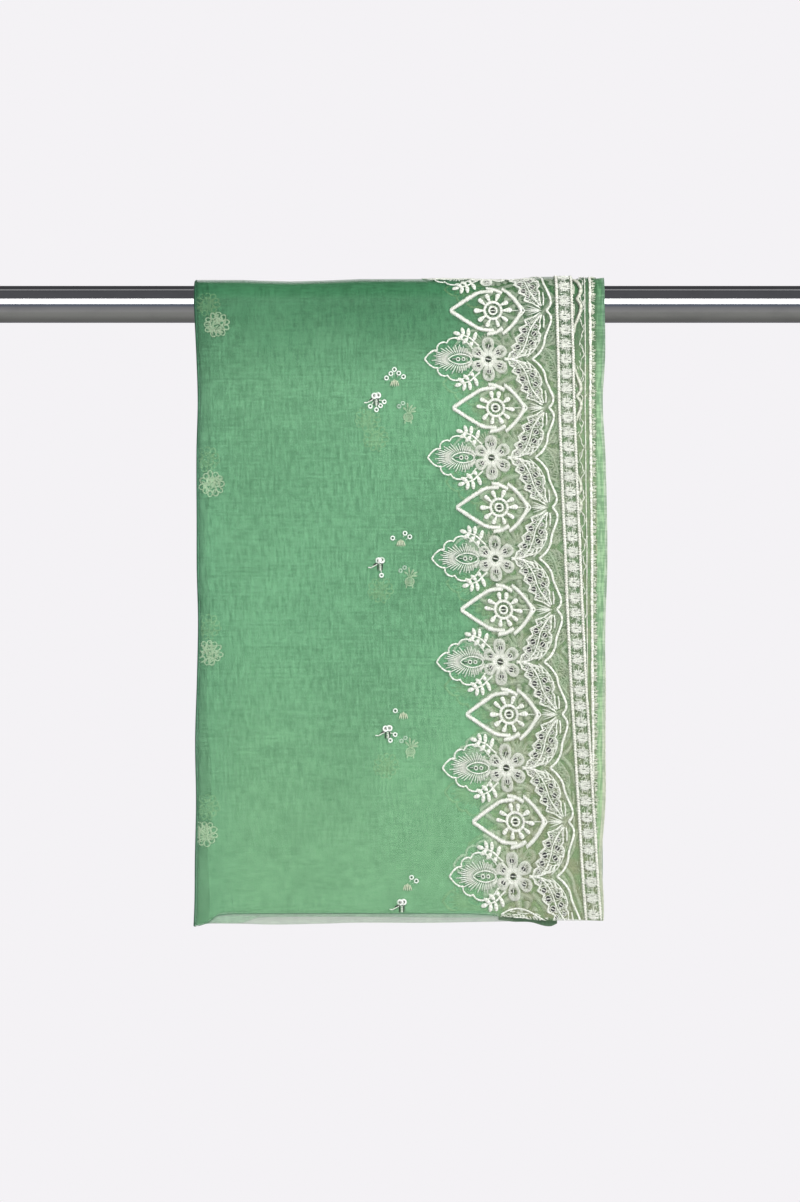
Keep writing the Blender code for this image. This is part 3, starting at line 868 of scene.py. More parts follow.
def flipped(line, side):
    return np.asarray(line, dtype=float) * (1, side)


def sew_lines(threads, lines, side=1):
    for line in lines:
        path = flipped(through(line.spots), side)
        threads.thread(path, line.half_width, line.height, line.sides, uneven=line.uneven)


# The big leaf: its two serrated edges, its rib, and each sequin's place, outer radius and lean
LEAF_LEFT = (
    *((14.0, -1.0), (17.4, 1.8), (18.6, 5.2), (22.6, 7.4), (20.0, 10.9), (25.4, 14.4)),
    *((23.6, 18.0), (29.2, 22.4), (27.0, 26.8), (33.8, 30.0), (32.0, 34.0), (40.0, 36.6), (46.4, 41.0)),
)
LEAF_RIGHT = (
    *((30.0, 2.6), (35.4, 4.4), (36.6, 8.6), (40.4, 9.2), (41.6, 15.2), (44.6, 15.8)),
    *((45.2, 21.8), (43.4, 24.4), (45.4, 27.4), (45.2, 33.0), (47.0, 39.6)),
)
LEAF_RIB = ((24.0, 1.6), (29.6, 7.6), (33.2, 15.4), (35.6, 23.4), (39.6, 30.4), (45.6, 38.2))
LEAF_SEQUINS = (
    *((32.0, 25.2, 2.2, 12), (28.9, 17.0, 2.3, 6), (25.6, 10.2, 2.1, 16), (35.0, 31.0, 1.5, 30)),
    *((39.8, 22.0, 2.1, 36), (37.4, 14.4, 2.2, 30), (41.4, 28.8, 1.5, 20), (22.4, 4.4, 1.4, 40)),
)
ROWS_OF_STITCHES = (0.0, 0.34, 0.64)  # where they start, from the edge to the rib
CLEARANCE = 0.9  # between a stitch and a sequin


def spaced_line(start, end, step):
    """Points on a straight line, without its last."""
    start, end = np.array(start, dtype=float), np.array(end, dtype=float)
    count = max(round(np.linalg.norm(end - start) / step), 1)
    return start + np.arange(count)[:, None] / count * (end - start)


def sew_big_leaf(design, side):
    """A long serrated leaf from the flower to the node, filled with slanted stitches round its sequins."""
    threads = design.threads
    up = (1, side)
    rib = through(LEAF_RIB, step=0.9)
    sequins = [(np.array(spot[:2]) + chance.uniform(-0.4, 0.4, 2), *spot[2:]) for spot in LEAF_SEQUINS]

    def clear(start, end):
        middle = (start + end) / 2
        return all(np.linalg.norm(middle - spot) > size + CLEARANCE for spot, size, _ in sequins)

    for corners in (LEAF_LEFT, LEAF_RIGHT):
        edge = np.vstack([spaced_line(start, end, 1.1) for start, end in zip(corners, corners[1:])])
        threads.thread(edge * up, 0.66, 0.95, uneven=0.3)
        nearest = rib[np.linspace(0, len(rib) - 1, len(edge)).astype(int)]
        for start, near in zip(edge, nearest):
            for part in ROWS_OF_STITCHES:
                begin = start + (near - start) * part + chance.uniform(-0.4, 0.4, 2)
                end = begin + (near - start) * 0.24 + chance.uniform(-0.3, 0.3, 2)
                if part == 0 or (clear(begin, end) and chance.random() < 0.8):
                    threads.stroke(begin * up, end * up, half_width=0.42, height=0.75, tail=0.7)
    for spot, size, lean in sequins:
        lean += chance.uniform(-14, 14)
        design.sequin(spot * up, size, size * 0.2, sewn_down=lean * side)
    sew_lines(threads, (LEAF_BASE,), side)
    threads.thread(rib * up, 0.7, 1.05, uneven=0.2)


# The medallion's satin bands about its middle, and the lean of their stitches
Band = namedtuple("Band", "lean spots")
BANDS = (
    Band(24, ((-37, 0), (-32.4, 3.0), (-25, 8.0), (-17.9, 12.4), (-12.6, 15.6), (-6.3, 16.9), (0.4, 17.2))),
    Band(-20, ((-5.6, 20.6), (0, 19.6), (4.4, 17.8), (8.2, 15.6))),
    Band(-28, ((8.0, 20.2), (11.6, 17.4), (16.9, 12.2), (21.6, 6.0), (24.8, 0))),
)
BAND_WIDTH = 1.8  # half of it
POINTS_IN_LAP = 14
RING, INNER_RING = 7.3, 3.3  # radii of the rings in its middle
RAYS, RING_STITCHES = 10, 14
RAY_PARTS = np.array((0.0, 0.2, 0.5, 0.75, 0.92, 1.0))
RAY_WIDTHS = np.array((0.42, 0.5, 0.85, 1.0, 0.8, 0.35))


def sew_medallion(design):
    """A pointed medallion with lapped satin bands, a ring in the middle and club-ended rays."""
    threads = design.threads
    middle = np.array(MEDALLION)
    for side in (1, -1):
        for lean, spots in BANDS:
            band = middle + flipped(through(spots, step=0.8), side)
            laps = max(1, round(len(band) / POINTS_IN_LAP))
            for lap in range(laps):
                piece = band[lap * len(band) // laps : (lap + 1) * len(band) // laps + 2]
                full = np.linspace(0.78, 1.12, len(piece)) * BAND_WIDTH
                full[[0, -1]] *= 0.6
                threads.thread(piece, full * 0.9, 0.85, uneven=0.25)
                threads.overcast(piece, BAND_WIDTH * 1.1, 0.9, 1.35, lean * side, base=0.3)
        for offset in (4.4, 1.7):
            start = middle + flipped((29.0, offset), side)
            threads.stroke(start, NODE, half_width=0.5, height=0.6)
        tip = middle + flipped(through(((21.8, 6.6), (25.2, 3.2), (27.4, 0))), side)
        threads.thread(tip, 0.6, 0.8)
    threads.stroke(middle + (27, 0), NODE, half_width=0.6, height=0.6)
    threads.thread(arc(middle, RING), 1.15, 1.15, closed=True, uneven=0.18)
    threads.overcast(arc(middle, RING, 0, 352), 1.25, 0.7, 1.2, 0, base=0.6)
    threads.thread(arc(middle, INNER_RING), 0.95, 1.0, closed=True, uneven=0.2)
    # Two dark slots either side of the stitch across the middle: painted shade, as in the halves of a
    # sequin's hole
    for side in (90, -90):
        design.sequins.leaflet(ray(middle, side, 1.25), 0, 3.2, 1.9, 0.5)
    threads.stroke(middle + (-2.6, 0), middle + (2.6, 0), half_width=0.42, height=0.8)
    for i in range(RING_STITCHES):
        turn = 360 * i / RING_STITCHES + chance.uniform(-6, 6)
        threads.stroke(ray(middle, turn, 6.4), ray(middle, turn + 8, 5.0), half_width=0.3, height=0.4)
    for i in range(RAYS):
        turn = 360 * i / RAYS
        swing = turn + chance.uniform(-6, 6)
        reach = 16.4 if turn in (0, 180) else chance.uniform(14.6, 15.8)
        start, end = ray(middle, turn, 8.0), ray(middle, swing, reach)
        full = RAY_WIDTHS * chance.uniform(2.0, 2.45)
        threads.thread(start + RAY_PARTS[:, None] * (end - start), full, 1.2, uneven=0.1)
    threads.stroke(ray(middle, 0, 15), ray(middle, 0, 23), half_width=0.55)


# Round the ogee's eye: its rim, and the feathers' starts, reaches and uneven lengths
EYE_RIM = ((9.6, 0), (8.4, 2.2), (4.6, 3.8), (-0.6, 4.4), (-6.0, 3.0), (-9.8, 0.4))
FEATHERS, FEATHER_LENGTHS = 40, (1.0, 0.78, 0.92, 0.70)
FEATHER_START, FEATHER_HEIGHT = (10.6, 5.2), 13.0
FEATHER_LEFT, FEATHER_RIGHT = 25.0, 11.5


def sew_ogee(design):
    """A lobed, pointed leaf with a feathered body round an eye."""
    threads = design.threads
    for side in (1, -1):
        sew_lines(threads, OGEE_LOBES, side)
    rim = np.array((*EYE_RIM, *((x, -y) for x, y in reversed(EYE_RIM[1:]))))
    threads.thread(np.array(EYE) + through(rim, closed=True), 0.6, 1.0, closed=True, uneven=0.15)
    for i in range(FEATHERS):
        turn = math.radians(12 + 336 * i / (FEATHERS - 1))
        lean, rise = math.cos(turn), math.sin(turn)
        start = np.array((EYE[0] + FEATHER_START[0] * lean, FEATHER_START[1] * rise))
        long = FEATHER_LENGTHS[i % len(FEATHER_LENGTHS)] * chance.uniform(0.94, 1.04)
        reach = (FEATHER_LEFT if lean < 0 else FEATHER_RIGHT) * math.copysign(abs(lean) ** 1.2, lean)
        height = FEATHER_HEIGHT * math.copysign(abs(rise) ** 0.92, rise)
        end = np.array((EYE[0] - 1.6 * abs(rise) + reach, height))
        threads.stroke(start, start + (end - start) * long, half_width=0.52, height=1.3, tail=0.85)
    # The eye's sequins take the dark sequin finish; the dark leaflet between them is painted shade in the eye
    for across, size in ((-1.6, 1.5), (3.0, 1.3)):
        spot = (EYE[0] + across, 0)
        threads.thread(arc(spot, size), 0.55, 0.8, closed=True, sides=4)
        design.sequins.washer(spot, 0.9, 0.2)
    design.sequins.leaflet((EYE[0] - 5.6, 0), 0, 4.4, 2.6, 0.4)
    threads.stroke((EYE[0] - 6.8, 0.2), (EYE[0] - 3.8, 0.2), half_width=0.3, height=0.6, base=0.2)


PETALS = ((90, 18.4), (32, 17.4), (-32, 17.4), (-90, 18.4), (-148, 15.2), (148, 15.2))  # turns and lengths
PETAL_STITCHES = (-26, -16, -6, 6, 16, 26)  # their leans, from the flower's middle into each petal
BEADS = 10  # round the flower's middle


def sew_flower(design):
    """Six looped petals of close stitches round a beaded middle."""
    threads = design.threads
    for degrees, length in PETALS:
        turn = math.radians(degrees)
        across = np.array(((math.cos(turn), math.sin(turn)), (-math.sin(turn), math.cos(turn))))
        half = ((5.2, 0.8), (7.6, 3.1), (11.2, 4.5), (length - 2.6, 4.3), (length - 0.5, 2.3))
        loop = [*half, (length, 0), *((x, -y) for x, y in reversed(half))]
        line = through(np.array(loop), step=1.22)
        threads.thread(line @ across, 0.4, 0.6, uneven=0.3)
        core = np.array((length * 0.62, 0))
        for spot in line:
            share = chance.uniform(0.30, 0.62)
            start = core + (spot - core) * chance.uniform(1.1, 1.2)
            end = spot + (core - spot) * share
            threads.stroke(start @ across, end @ across, half_width=0.37, height=1.3, tail=0.7)
        for lean in PETAL_STITCHES:
            start, end = ray((0, 0), degrees + lean * 1.1, 3.4), ray((0, 0), degrees + lean * 0.8, 10.2)
            threads.stroke(start, end, half_width=0.55, height=0.8)
        spot = ray((0, 0), degrees + chance.uniform(-5, 5), length * chance.uniform(0.58, 0.66))
        size = chance.uniform(1.6, 2.2)
        design.sequin(spot, size, 0.4, sewn_down=degrees + chance.uniform(-25, 25), rim=size > 1.8)
    for i in range(18):
        turn = 360 * i / 18
        threads.stroke(ray((0, 0), turn, 2.9), ray((0, 0), turn, 7.8), half_width=0.55, height=0.95)
    for i in range(BEADS):
        turn = 360 / BEADS * i
        threads.leaflet(ray((0, 0), turn, 3.5), turn + 90, 2.1, 1.6, 1.2)
    design.sequin((0, 0), 2.3, 0.4, sewn_down=chance.uniform(-15, 5), rim=False)


# Each leaflet of the sprig, from its base to its tip
SPRIG = (
    *((-23.4, 21.6, -29.4, 23.2), (-20.4, 20.8, -22.2, 27.2), (-16.8, 19.4, -16.4, 26.6)),
    *((-12.4, 15.6, -10.0, 23.2), (-20.8, 20.8, -26.4, 17.0), (-16.8, 18.6, -21.6, 13.9)),
    (-13.0, 15.2, -15.8, 11.2),
)


def sew_sprig(threads, side):
    sew_lines(threads, (SPRIG_STEM,), side)
    for leaflet in SPRIG:
        start, tip = flipped(leaflet[:2], side), flipped(leaflet[2:], side)
        away = tip - start
        degrees = math.degrees(math.atan2(away[1], away[0]))
        threads.leaflet((start + tip) / 2 + away * 0.05, degrees, np.linalg.norm(away), 3.9, 1.25)


LOOSE_STITCHES = 72  # scattered over the turned end


def sew_turned_end(threads):
    """What shows at the hem of the border's turn along the short end: part of a scallop lying on its side."""
    sew_lines(threads, TURNED_SCALLOP)
    for i in range(11):
        start = (-8 + 2.8 * i, -29.6 - 0.022 * (i - 3.2) ** 2 * 2.8)
        threads.stroke(start, (start[0] + 1.5, start[1] - 2.6), half_width=0.45, height=0.5)
    for degrees in (-60, -90, -120):
        threads.leaflet(ray((4, -33.5), degrees, 3.2), degrees, 3.6, 1.7, 0.8)
    for _ in range(LOOSE_STITCHES):
        place = chance.uniform(-14, 26)
        spot = (place, -30.4 - 0.011 * (place - 3.2) ** 2 - chance.uniform(-4.5, 5.0))
        lean = chance.uniform(-40, 20)
        threads.aimed(spot, lean, chance.uniform(2, 4.5), half_width=0.4, height=0.6, tail=0.8)


def border_repeat(last=False, plump=1.0, sides=6):
    """One repeat of the border: a flower with its ogee leaf, sprigs and big leaves, and a medallion below."""
    design = Design(plump, sides)
    for side in (1, -1):
        sew_lines(design.threads, SCALLOP, side)
        sew_big_leaf(design, side)
        sew_sprig(design.threads, side)
    if last:
        sew_turned_end(design.threads)
    else:
        sew_medallion(design)
    sew_ogee(design)
    sew_flower(design)
    return design


# ---------------------------------------------------------------- braid and small motifs

BRAID_IN, BRAID_OUT = -14.3, -1.45  # the braid's cords, in millimetres from the ply's long edge


# The stitches across a tuft: how far up it each lies, and its length
TUFT_ROWS = ((-4.6, 5.4), (-3.5, 8.0), (-2.5, 10.2), (-1.5, 10.8), (-0.5, 10.4), (0.6, 8.4), (2.0, 5.6))
TUFT_PITCH, TUFT_PITCH_GROWTH = 12.4, 1.8


def sew_lozenge(threads):
    """One tuft of the braid: a wide, fuzzy star, fullest below its middle; the inner cord is at 0."""
    middle = (BRAID_OUT - BRAID_IN) / 2
    for rise, length in TUFT_ROWS:
        start = (middle - length / 2 + chance.uniform(-0.9, 0.9), rise + chance.uniform(-1.0, 1.0))
        end = (middle + length / 2 + chance.uniform(-0.9, 0.9), rise + chance.uniform(-1.0, 1.0))
        threads.stroke(start, end, half_width=0.52, height=1.1, tail=0.7)
    for i in range(16):
        lean = 22.5 * i + chance.uniform(-9, 9)
        reach = chance.uniform(4.4, 6.2)
        start, end = (ray((middle, -0.6), lean, distance) for distance in (1.4, reach))
        threads.stroke(start, end, half_width=0.46, height=1.0, base=0.3, tail=0.6)
    for _ in range(7):
        spot = np.array((middle, 5.8)) + chance.uniform(-1, 1, 2) * (4.2, 2.0)
        threads.centred(spot, chance.uniform(0, 180), 1.3, half_width=0.34, height=0.6)
    for _ in range(10):
        spot = np.array((middle, -0.8)) + chance.uniform(-1, 1, 2) * (4.4, 3.6)
        threads.centred(spot, chance.uniform(0, 180), 1.2, half_width=0.38, height=0.6, base=0.8)


def lozenge_runs():
    """Runs of the tufts, whose pitch widens a little down the front."""
    runs, run = [], -QUARTER - BACK_DROP + 0.008
    while run < QUARTER + FRONT_DROP:
        runs.append(run)
        run += (TUFT_PITCH + TUFT_PITCH_GROWTH * max(run - QUARTER, 0) / FRONT_DROP) * MM
    return runs


def ring_flower(rings, sewn):
    """Two lapped sequins with a spray of stitches below them that end in ring sequins."""
    design = Design()
    threads = design.threads
    for middle, lean in (((-1.5, 0.5), sewn), ((1.5, 0.9), sewn + 25)):
        design.loose_sequin(middle, 2.9, 1.2, tilt=0.2, around=16)
        threads.centred(middle, lean, 2.3, half_width=0.32, height=0.6, base=0.4)
    sew_lines(threads, (FLOWER_LEG,))
    for spot in rings:
        start = ray((0, -2.5), math.degrees(math.atan2(spot[1] + 2.5, spot[0])), 1.6)
        threads.stroke(start, np.array(spot) * 0.84, half_width=0.45, height=0.55, tail=0.8)
        design.loose_sequin(spot, 2.2, 0.95, tilt=0.12)
        # A dark oval in each ring sequin's hole: painted shade
        design.painted_shadows.leaflet(spot, 80, 1.4, 0.8, 0.5)
    for rise in (-3.2, -4.6, -6.0, -7.4):
        threads.leaflet((0.2, rise), 0, 1.9, 1.2, 0.8)
        # Dark leaflets beside each small leaflet: painted shadows
        design.painted_shadows.leaflet((1.9, rise + 0.6), 60, 2.2, 1.0, 0.7)
        design.painted_shadows.leaflet((-1.8, rise + 0.4), 110, 2.2, 1.0, 0.7)
    # Painted shade in the lapped sequins' holes, and a painted shadow beside the leg
    for spot, lean, length in (((-1.5, 0.6), 80, 2.6), ((1.6, 1.0), 100, 2.4), ((-4.2, -2.6), 25, 4.2)):
        design.painted_shadows.leaflet(spot, lean, length, 1.7, 0.8)
    return design


def fan(rings):
    """Ring sequins in an arc, and the little cup of upright stitches that goes below them."""
    spray, cup = Design(), Design()
    for spot in rings:
        spray.loose_sequin(spot, 2.2, 1.1)
        # A dark oval in each ring sequin's hole: painted shade
        spray.painted_shadows.leaflet(spot, 100, 1.6, 1.0, 0.5)
        spray.threads.stroke(np.array(spot) * 0.55, np.array(spot) * 0.8, half_width=0.28, height=0.4)
    for i in range(5):
        place = -2.0 + i
        middle = (place * 1.45, -0.2 - 0.2 * abs(place))
        cup.threads.leaflet(middle, 90 + place * 9, 6.8 - 0.8 * abs(place), 1.0, 1.0)
    return spray, cup


def cream_flower(rings):
    """A plump little flower of close stitches with a spray above it."""
    design = Design()
    threads = design.threads
    for i in range(6):
        place = -2.5 + i
        reach = math.sqrt(max(3.5**2 - place**2, 2.0))
        threads.stroke((place * 1.15, -4.6 - reach), (place * 1.15, -4.6 + reach), half_width=0.5, height=0.9)
    threads.thread(arc((0, -4.6), (3.8, 3.6)), 0.6, 0.9, closed=True, uneven=0.2)
    for place in (-2.8, 2.6):
        threads.leaflet((place, -9.0), 90, 2.8, 1.3, 0.7)
    for degrees, reach in ((140, 6.5), (96, 8.5), (58, 7.5), (28, 8.5), (2, 7.5)):
        middle = ray((0, 0.2), degrees, reach * 0.62)
        threads.leaflet(middle, degrees, reach * 0.62, 1.9, 0.8)
        threads.stroke(ray((0, -1), degrees, 0.5), middle, half_width=0.45, height=0.7)
    for spot in rings:
        design.loose_sequin(spot, 2.1, 0.8)
    return design


LOOPS, TANGLE = 11, 60  # of a round flower: the loops at its rim and the stitches that fill it


def round_flower():
    """A round flower of uneven loops about a full, tangled middle."""
    design = Design()
    threads = design.threads
    first = chance.uniform(0, 30)
    for i in range(LOOPS):
        turn = 360 * i / LOOPS + first + chance.uniform(-6, 6)
        across = ray((0, 0), turn, 1.0)[None]
        loop = arc((0, 0), (chance.uniform(2.2, 3.4), chance.uniform(1.8, 2.7)), step=1.5)
        along = across * (loop[:, :1] + chance.uniform(7.4, 8.8)) + across[:, ::-1] * (-1, 1) * loop[:, 1:]
        threads.thread(along, 0.6, 0.8, closed=True, uneven=0.4)
    for _ in range(TANGLE):
        turn = chance.uniform(0, 360)
        start = ray((0, 0), turn, chance.uniform(3.0, 9.6))
        lean = turn + 180 + chance.uniform(-55, 55)
        threads.aimed(start, lean, chance.uniform(3.0, 6.0), half_width=0.55, height=0.9, tail=0.8)
    return design


FIRST_FLOWER, FLOWER_PITCH, FLOWER_PITCH_GROWTH = 48.5, 83.9, 1.085


def flower_run(n):
    """The run of the border's nth flower: the rows open out a little towards the front hem."""
    return QUARTER + (FIRST_FLOWER + FLOWER_PITCH * n + FLOWER_PITCH_GROWTH * max(n, 0) ** 2) * MM


def border_spots(first, last, shift=0.0, inward=0.0):
    spots = []
    for n in range(first, last + 1):
        pitch = (flower_run(n + 0.5) - flower_run(n - 0.5)) / MM
        place = BRAID_IN - FLOWER_IN - inward
        spots.append(Spot(place, flower_run(n) + shift, pitch / (2 * HALF_PITCH)))
    return spots


def all_sewn(name, ply, design, spots, finishes, hems=None, askew=True, corner=None):
    """Sew a design at each spot: its threads, sequins and painted shadows are a piece each."""
    made = []
    kinds = (("", design.threads), ("_sequins", design.sequins), ("_shadows", design.painted_shadows))
    for (suffix, stitches), finish in zip(kinds, finishes):
        if stitches.count:
            work = repeated(stitches, spots)
            made.append(sew_on(name + suffix, ply, work, finish, hems=hems, askew=askew, corner=corner))
    return made


def joined(works):
    points, sewn, quads, count = [], [], [], 0
    for work in works:
        points.append(work[0])
        sewn.append(work[1])
        quads.append(work[2] + count)
        count += len(work[0])
    return np.vstack(points), np.vstack(sewn), np.vstack(quads)


SECOND_DRIFT, DRIFT_ENDS = 0.0075, 345


def second_drift(line):
    """How much nearer to its edge the second ply's braid comes down the front."""
    drop = np.clip(-line[:, 1] - QUARTER / MM, 0, DRIFT_ENDS)
    return np.stack((SECOND_DRIFT * drop, 0 * drop), axis=-1)


def long_line(place, front, back, step, wander):
    """A line along the whole cloth, in millimetres, that wanders a little."""
    run = spaced(-back, front, step * MM) / MM
    drift = wander * (np.sin(run / 31) + 0.6 * np.sin(run / 13 + 1.7))
    return np.stack((place + drift, -run), axis=-1)


# ---------------------------------------------------------------- the pieces


RAIL_SIDES = 160
CAP_RIM, CAP_STEP, CAP_DEPTH = 0.0012, 0.0030, 0.0006
END_ROUND, END_ANGLE = 0.0009, math.radians(50)


def make_rail():
    """A round chrome tube with softened ends and closed end caps."""
    unselect_all()
    bpy.ops.mesh.primitive_cylinder_add(
        vertices=RAIL_SIDES, radius=RAIL_RADIUS, depth=2 * RAIL_HALF, location=(0, 0, 0)
    )
    rail = bpy.context.active_object
    rail.name = "chrome_rail"
    rail.data.name = "chrome_rail"
    bpy.ops.object.mode_set(mode="EDIT")
    bpy.ops.mesh.select_all(action="SELECT")
    bpy.ops.transform.rotate(value=math.pi / 2, orient_axis="Y", center_override=(0, 0, 0))
    bpy.ops.mesh.select_mode(type="FACE")
    bpy.ops.mesh.select_all(action="DESELECT")
    edit = bmesh.from_edit_mesh(rail.data)
    for face in edit.faces:
        face.select = abs(face.normal.x) > 0.9
    bmesh.update_edit_mesh(rail.data)
    bpy.ops.mesh.inset(thickness=CAP_RIM, use_individual=True)
    bpy.ops.mesh.inset(thickness=CAP_STEP, depth=-CAP_DEPTH, use_individual=True)
    bpy.ops.object.mode_set(mode="OBJECT")
    soften = rail.modifiers.new("soften", "BEVEL")
    soften.width = END_ROUND
    soften.segments = 4
    soften.limit_method = "ANGLE"
    soften.angle_limit = END_ANGLE
    bpy.ops.object.modifier_apply(modifier=soften.name)
    return finish_piece(rail, chromed(), ["rail"])


# What shows below the hems: the drop of its lower edge along X
Bottom = namedtuple("Bottom", "place drop")
HEM_STRIP = (
    *(Bottom(-0.1690, 0.5360), Bottom(-0.1360, 0.5362), Bottom(-0.1100, 0.5370), Bottom(-0.0650, 0.5362)),
    *(Bottom(-0.0350, 0.5353), Bottom(0.0250, 0.5354), Bottom(0.0800, 0.5345), Bottom(0.0990, 0.5341)),
)
FOLDED_CORNER = (
    *(Bottom(0.0850, 0.5330), Bottom(0.0980, 0.5346), Bottom(0.1130, 0.5350)),
    *(Bottom(0.1250, 0.5382), Bottom(0.1310, 0.5384), Bottom(0.1358, 0.5360)),
)
STRIP_TOP, STRIP_STEP, STRIP_ROWS = 0.500, 0.0025, 14


def make_strip(name, rows, height, material):
    """A strip of cloth that shows below the hems, hanging from behind the inner plies."""
    columns = spaced(rows[0].place, rows[-1].place, STRIP_STEP)
    sheet, place, part = woven_grid(name, columns, spaced(1, 0, 1 / STRIP_ROWS))
    run = QUARTER + STRIP_TOP + (read(rows, "drop", place) - STRIP_TOP) * part
    place_sheet(sheet, hang(place, run, height + 0 * run), np.stack((place - 0.17, run), axis=-1))
    finish_piece(sheet, material, [name.replace("_cloth", "")])
    return sheet


# The turned end is cut off below a line through this spot, square to this direction
END_CORNER = ((-94.7, -(QUARTER + 0.5288) / MM), (0.1, 1.0))


PINCH_PITCH, PINCH_DEPTH, PINCH_WIDTH = 29.0, 0.3, 1.6


def pinched(line, half_width):
    """Half widths along a cord that is drawn in where each length of its stitches ends."""
    part = np.mod(-line[:, 1], PINCH_PITCH) - PINCH_PITCH / 2
    return half_width * (1 - PINCH_DEPTH * np.exp(-((part / PINCH_WIDTH) ** 2)))


def make_hem_roll(name, ply, hem, place_from, place_to, material):
    """The rolled hem of a ply: a narrow roll along its lower edge."""
    place = spaced(place_from, place_to, 0.0022)
    line = np.stack((place / MM, -(QUARTER + read(HEMS, hem, place)) / MM + 0.4), axis=-1)
    work = Stitches()
    work.thread(line, 0.42, 0.6, uneven=0.08)
    return sew_on(name, ply, work.gather(), material, askew=False)


def make_cloth(finishes):
    green, deep_green, inner_green, pale = (finishes[key] for key in ("green", "second", "inner", "pale"))
    folded = finishes["pressed_and_shaded"]
    outer, outer_cut = make_ply("outer_ply_cloth", OUTER, 0.008, 0.0034, green, ["outer_ply"], folded)
    second, second_cut = make_ply("second_ply_cloth", SECOND, 0.010, 0.0045, deep_green, ["second_ply"])
    inner, inner_cut = make_ply("inner_plies_cloth", INNER, 0.345, 0.0060, inner_green, ["inner_plies"])
    strip = make_strip("hem_strip_cloth", HEM_STRIP, -SEAM_GAP, pale)
    behind = -2 * SEAM_GAP - PLY_WALL
    # The folded corner takes a darker copy of the cloth: painted shade inside the fold
    corner = make_strip(
        "folded_corner_cloth", FOLDED_CORNER, behind, finishes["corner"]
    )
    roll = make_hem_roll("outer_hem_roll", OUTER, "outer", -0.1740, 0.0840, finishes["roll"])
    return {
        "outer": (outer, outer_cut, [roll]),
        "second": (second, second_cut, []),
        "inner": (inner, inner_cut, []),
        "strip": (strip, (0.268, 0.0360), []),
        "corner": (corner, (0.0508, 0.0365), []),
    }


FIRST_REPEAT, LAST_REPEAT = -8, 5  # from the back hem to the turned end at the front
CREST_REPEAT = -2  # from here back, the repeats are on the back drop

# The borders of the plies underneath, drawn coarsely: how far each lies further on, and further in
Under = namedtuple("Under", "name ply shift inward")
UNDER = (
    Under("second_border", SECOND, shift=-0.010, inward=-6.0),
    Under("third_border", INNER, shift=0.021, inward=9.0),
)


def make_border(finishes):
    white, foil_and_shade, *under_finishes = finishes
    first, other, end = border_repeat(), border_repeat(), border_repeat(last=True)
    hems = (QUARTER + 0.5329, -QUARTER - BACK_DROP + 0.0010)
    made = []
    for name, design, start in (("border", first, FIRST_REPEAT), ("border_between", other, FIRST_REPEAT + 1)):
        rows = range(start, LAST_REPEAT, 2)
        front = [spot for n in rows if n > CREST_REPEAT for spot in border_spots(n, n)]
        back = [spot for n in rows if n <= CREST_REPEAT for spot in border_spots(n, n)]
        made += all_sewn(name + "_front", OUTER, design, front, (white, foil_and_shade), hems)
        made += all_sewn(name + "_back", OUTER, design, back, (white, foil_and_shade), hems)
    last = border_spots(LAST_REPEAT, LAST_REPEAT)
    made += all_sewn("border_end", OUTER, end, last, (white, foil_and_shade), hems, corner=END_CORNER)
    hems = (QUARTER + 0.5250, -QUARTER - BACK_DROP + 0.0030)
    under = []
    for (name, ply, shift, inward), finish in zip(UNDER, under_finishes):
        drawn = border_repeat(plump=1.6, sides=4)
        work = repeated(drawn.threads, border_spots(CREST_REPEAT, LAST_REPEAT, shift, inward))
        under.append([sew_on(name, ply, work, finish, hems=hems)])
    return made, *under


# A braid's cords: the place and half width of each, in millimetres from its ply's long edge
OUTER_CORDS = ((BRAID_IN, 1.3), (BRAID_OUT, 1.2))
SECOND_CORDS = ((-10.4, 0.5), (-5.9, 1.3))
WAVE, WAVES = -13.6, ((1.5, 20.5), (0.6, 7.3))  # a wavy thread: its place, and its swings and their lengths
SECOND_TUFT, SECOND_TUFT_PITCH = -4.7, 0.0118
TUFT_KINDS, SECOND_TUFT_KINDS = 3, 5


def make_braid(finishes):
    """The outermost ply's braid: two overcast cords with a row of tufts between them."""
    cord, white = finishes
    front, back = QUARTER + 0.5333, QUARTER + BACK_DROP - 0.0006
    hems = (front - 0.0006, -back + 0.0006)
    cords = Stitches()
    for place, half_width in OUTER_CORDS:
        line = long_line(place, front, back, 1.3, 0.16)
        cords.thread(line, pinched(line, half_width), 1.1, uneven=0.22)
        cords.overcast(line[1:-1], half_width * 1.05, 0.55, 2.3, 24, base=0.7)
    tufts = []
    runs = lozenge_runs()
    for kind in range(TUFT_KINDS):
        tuft = Stitches()
        sew_lozenge(tuft)
        tufts.append(repeated(tuft, [Spot(BRAID_IN, run, 1.0) for run in runs[kind::TUFT_KINDS]]))
    return [
        sew_on("edge_cords", OUTER, cords.gather(), cord, nodes=["edge_braid"], hems=hems),
        sew_on("edge_tufts", OUTER, joined(tufts), white, hems=hems),
    ]


def second_tuft():
    """A ragged tuft that reaches out from the second ply's wide cord, and the painted shadows in it."""
    tuft, shadow = Stitches(), Stitches()
    for _ in range(15):
        rise = chance.uniform(-4.9, 4.9)
        begin = (chance.uniform(-0.6, 0.2), rise)
        end = (chance.uniform(1.8, 4.2) - 0.2 * abs(rise), rise + chance.uniform(-1.8, 1.8))
        tuft.stroke(begin, end, half_width=0.42, height=0.9, tail=0.7)
    # Dark leaflets in the tuft: painted shadows
    for _ in range(2):
        spot = (chance.uniform(0.2, 1.6), chance.uniform(-5.9, 5.0))
        shadow.leaflet(spot, chance.uniform(-70, 70), 1.7, 0.75, 0.5)
    return tuft, shadow


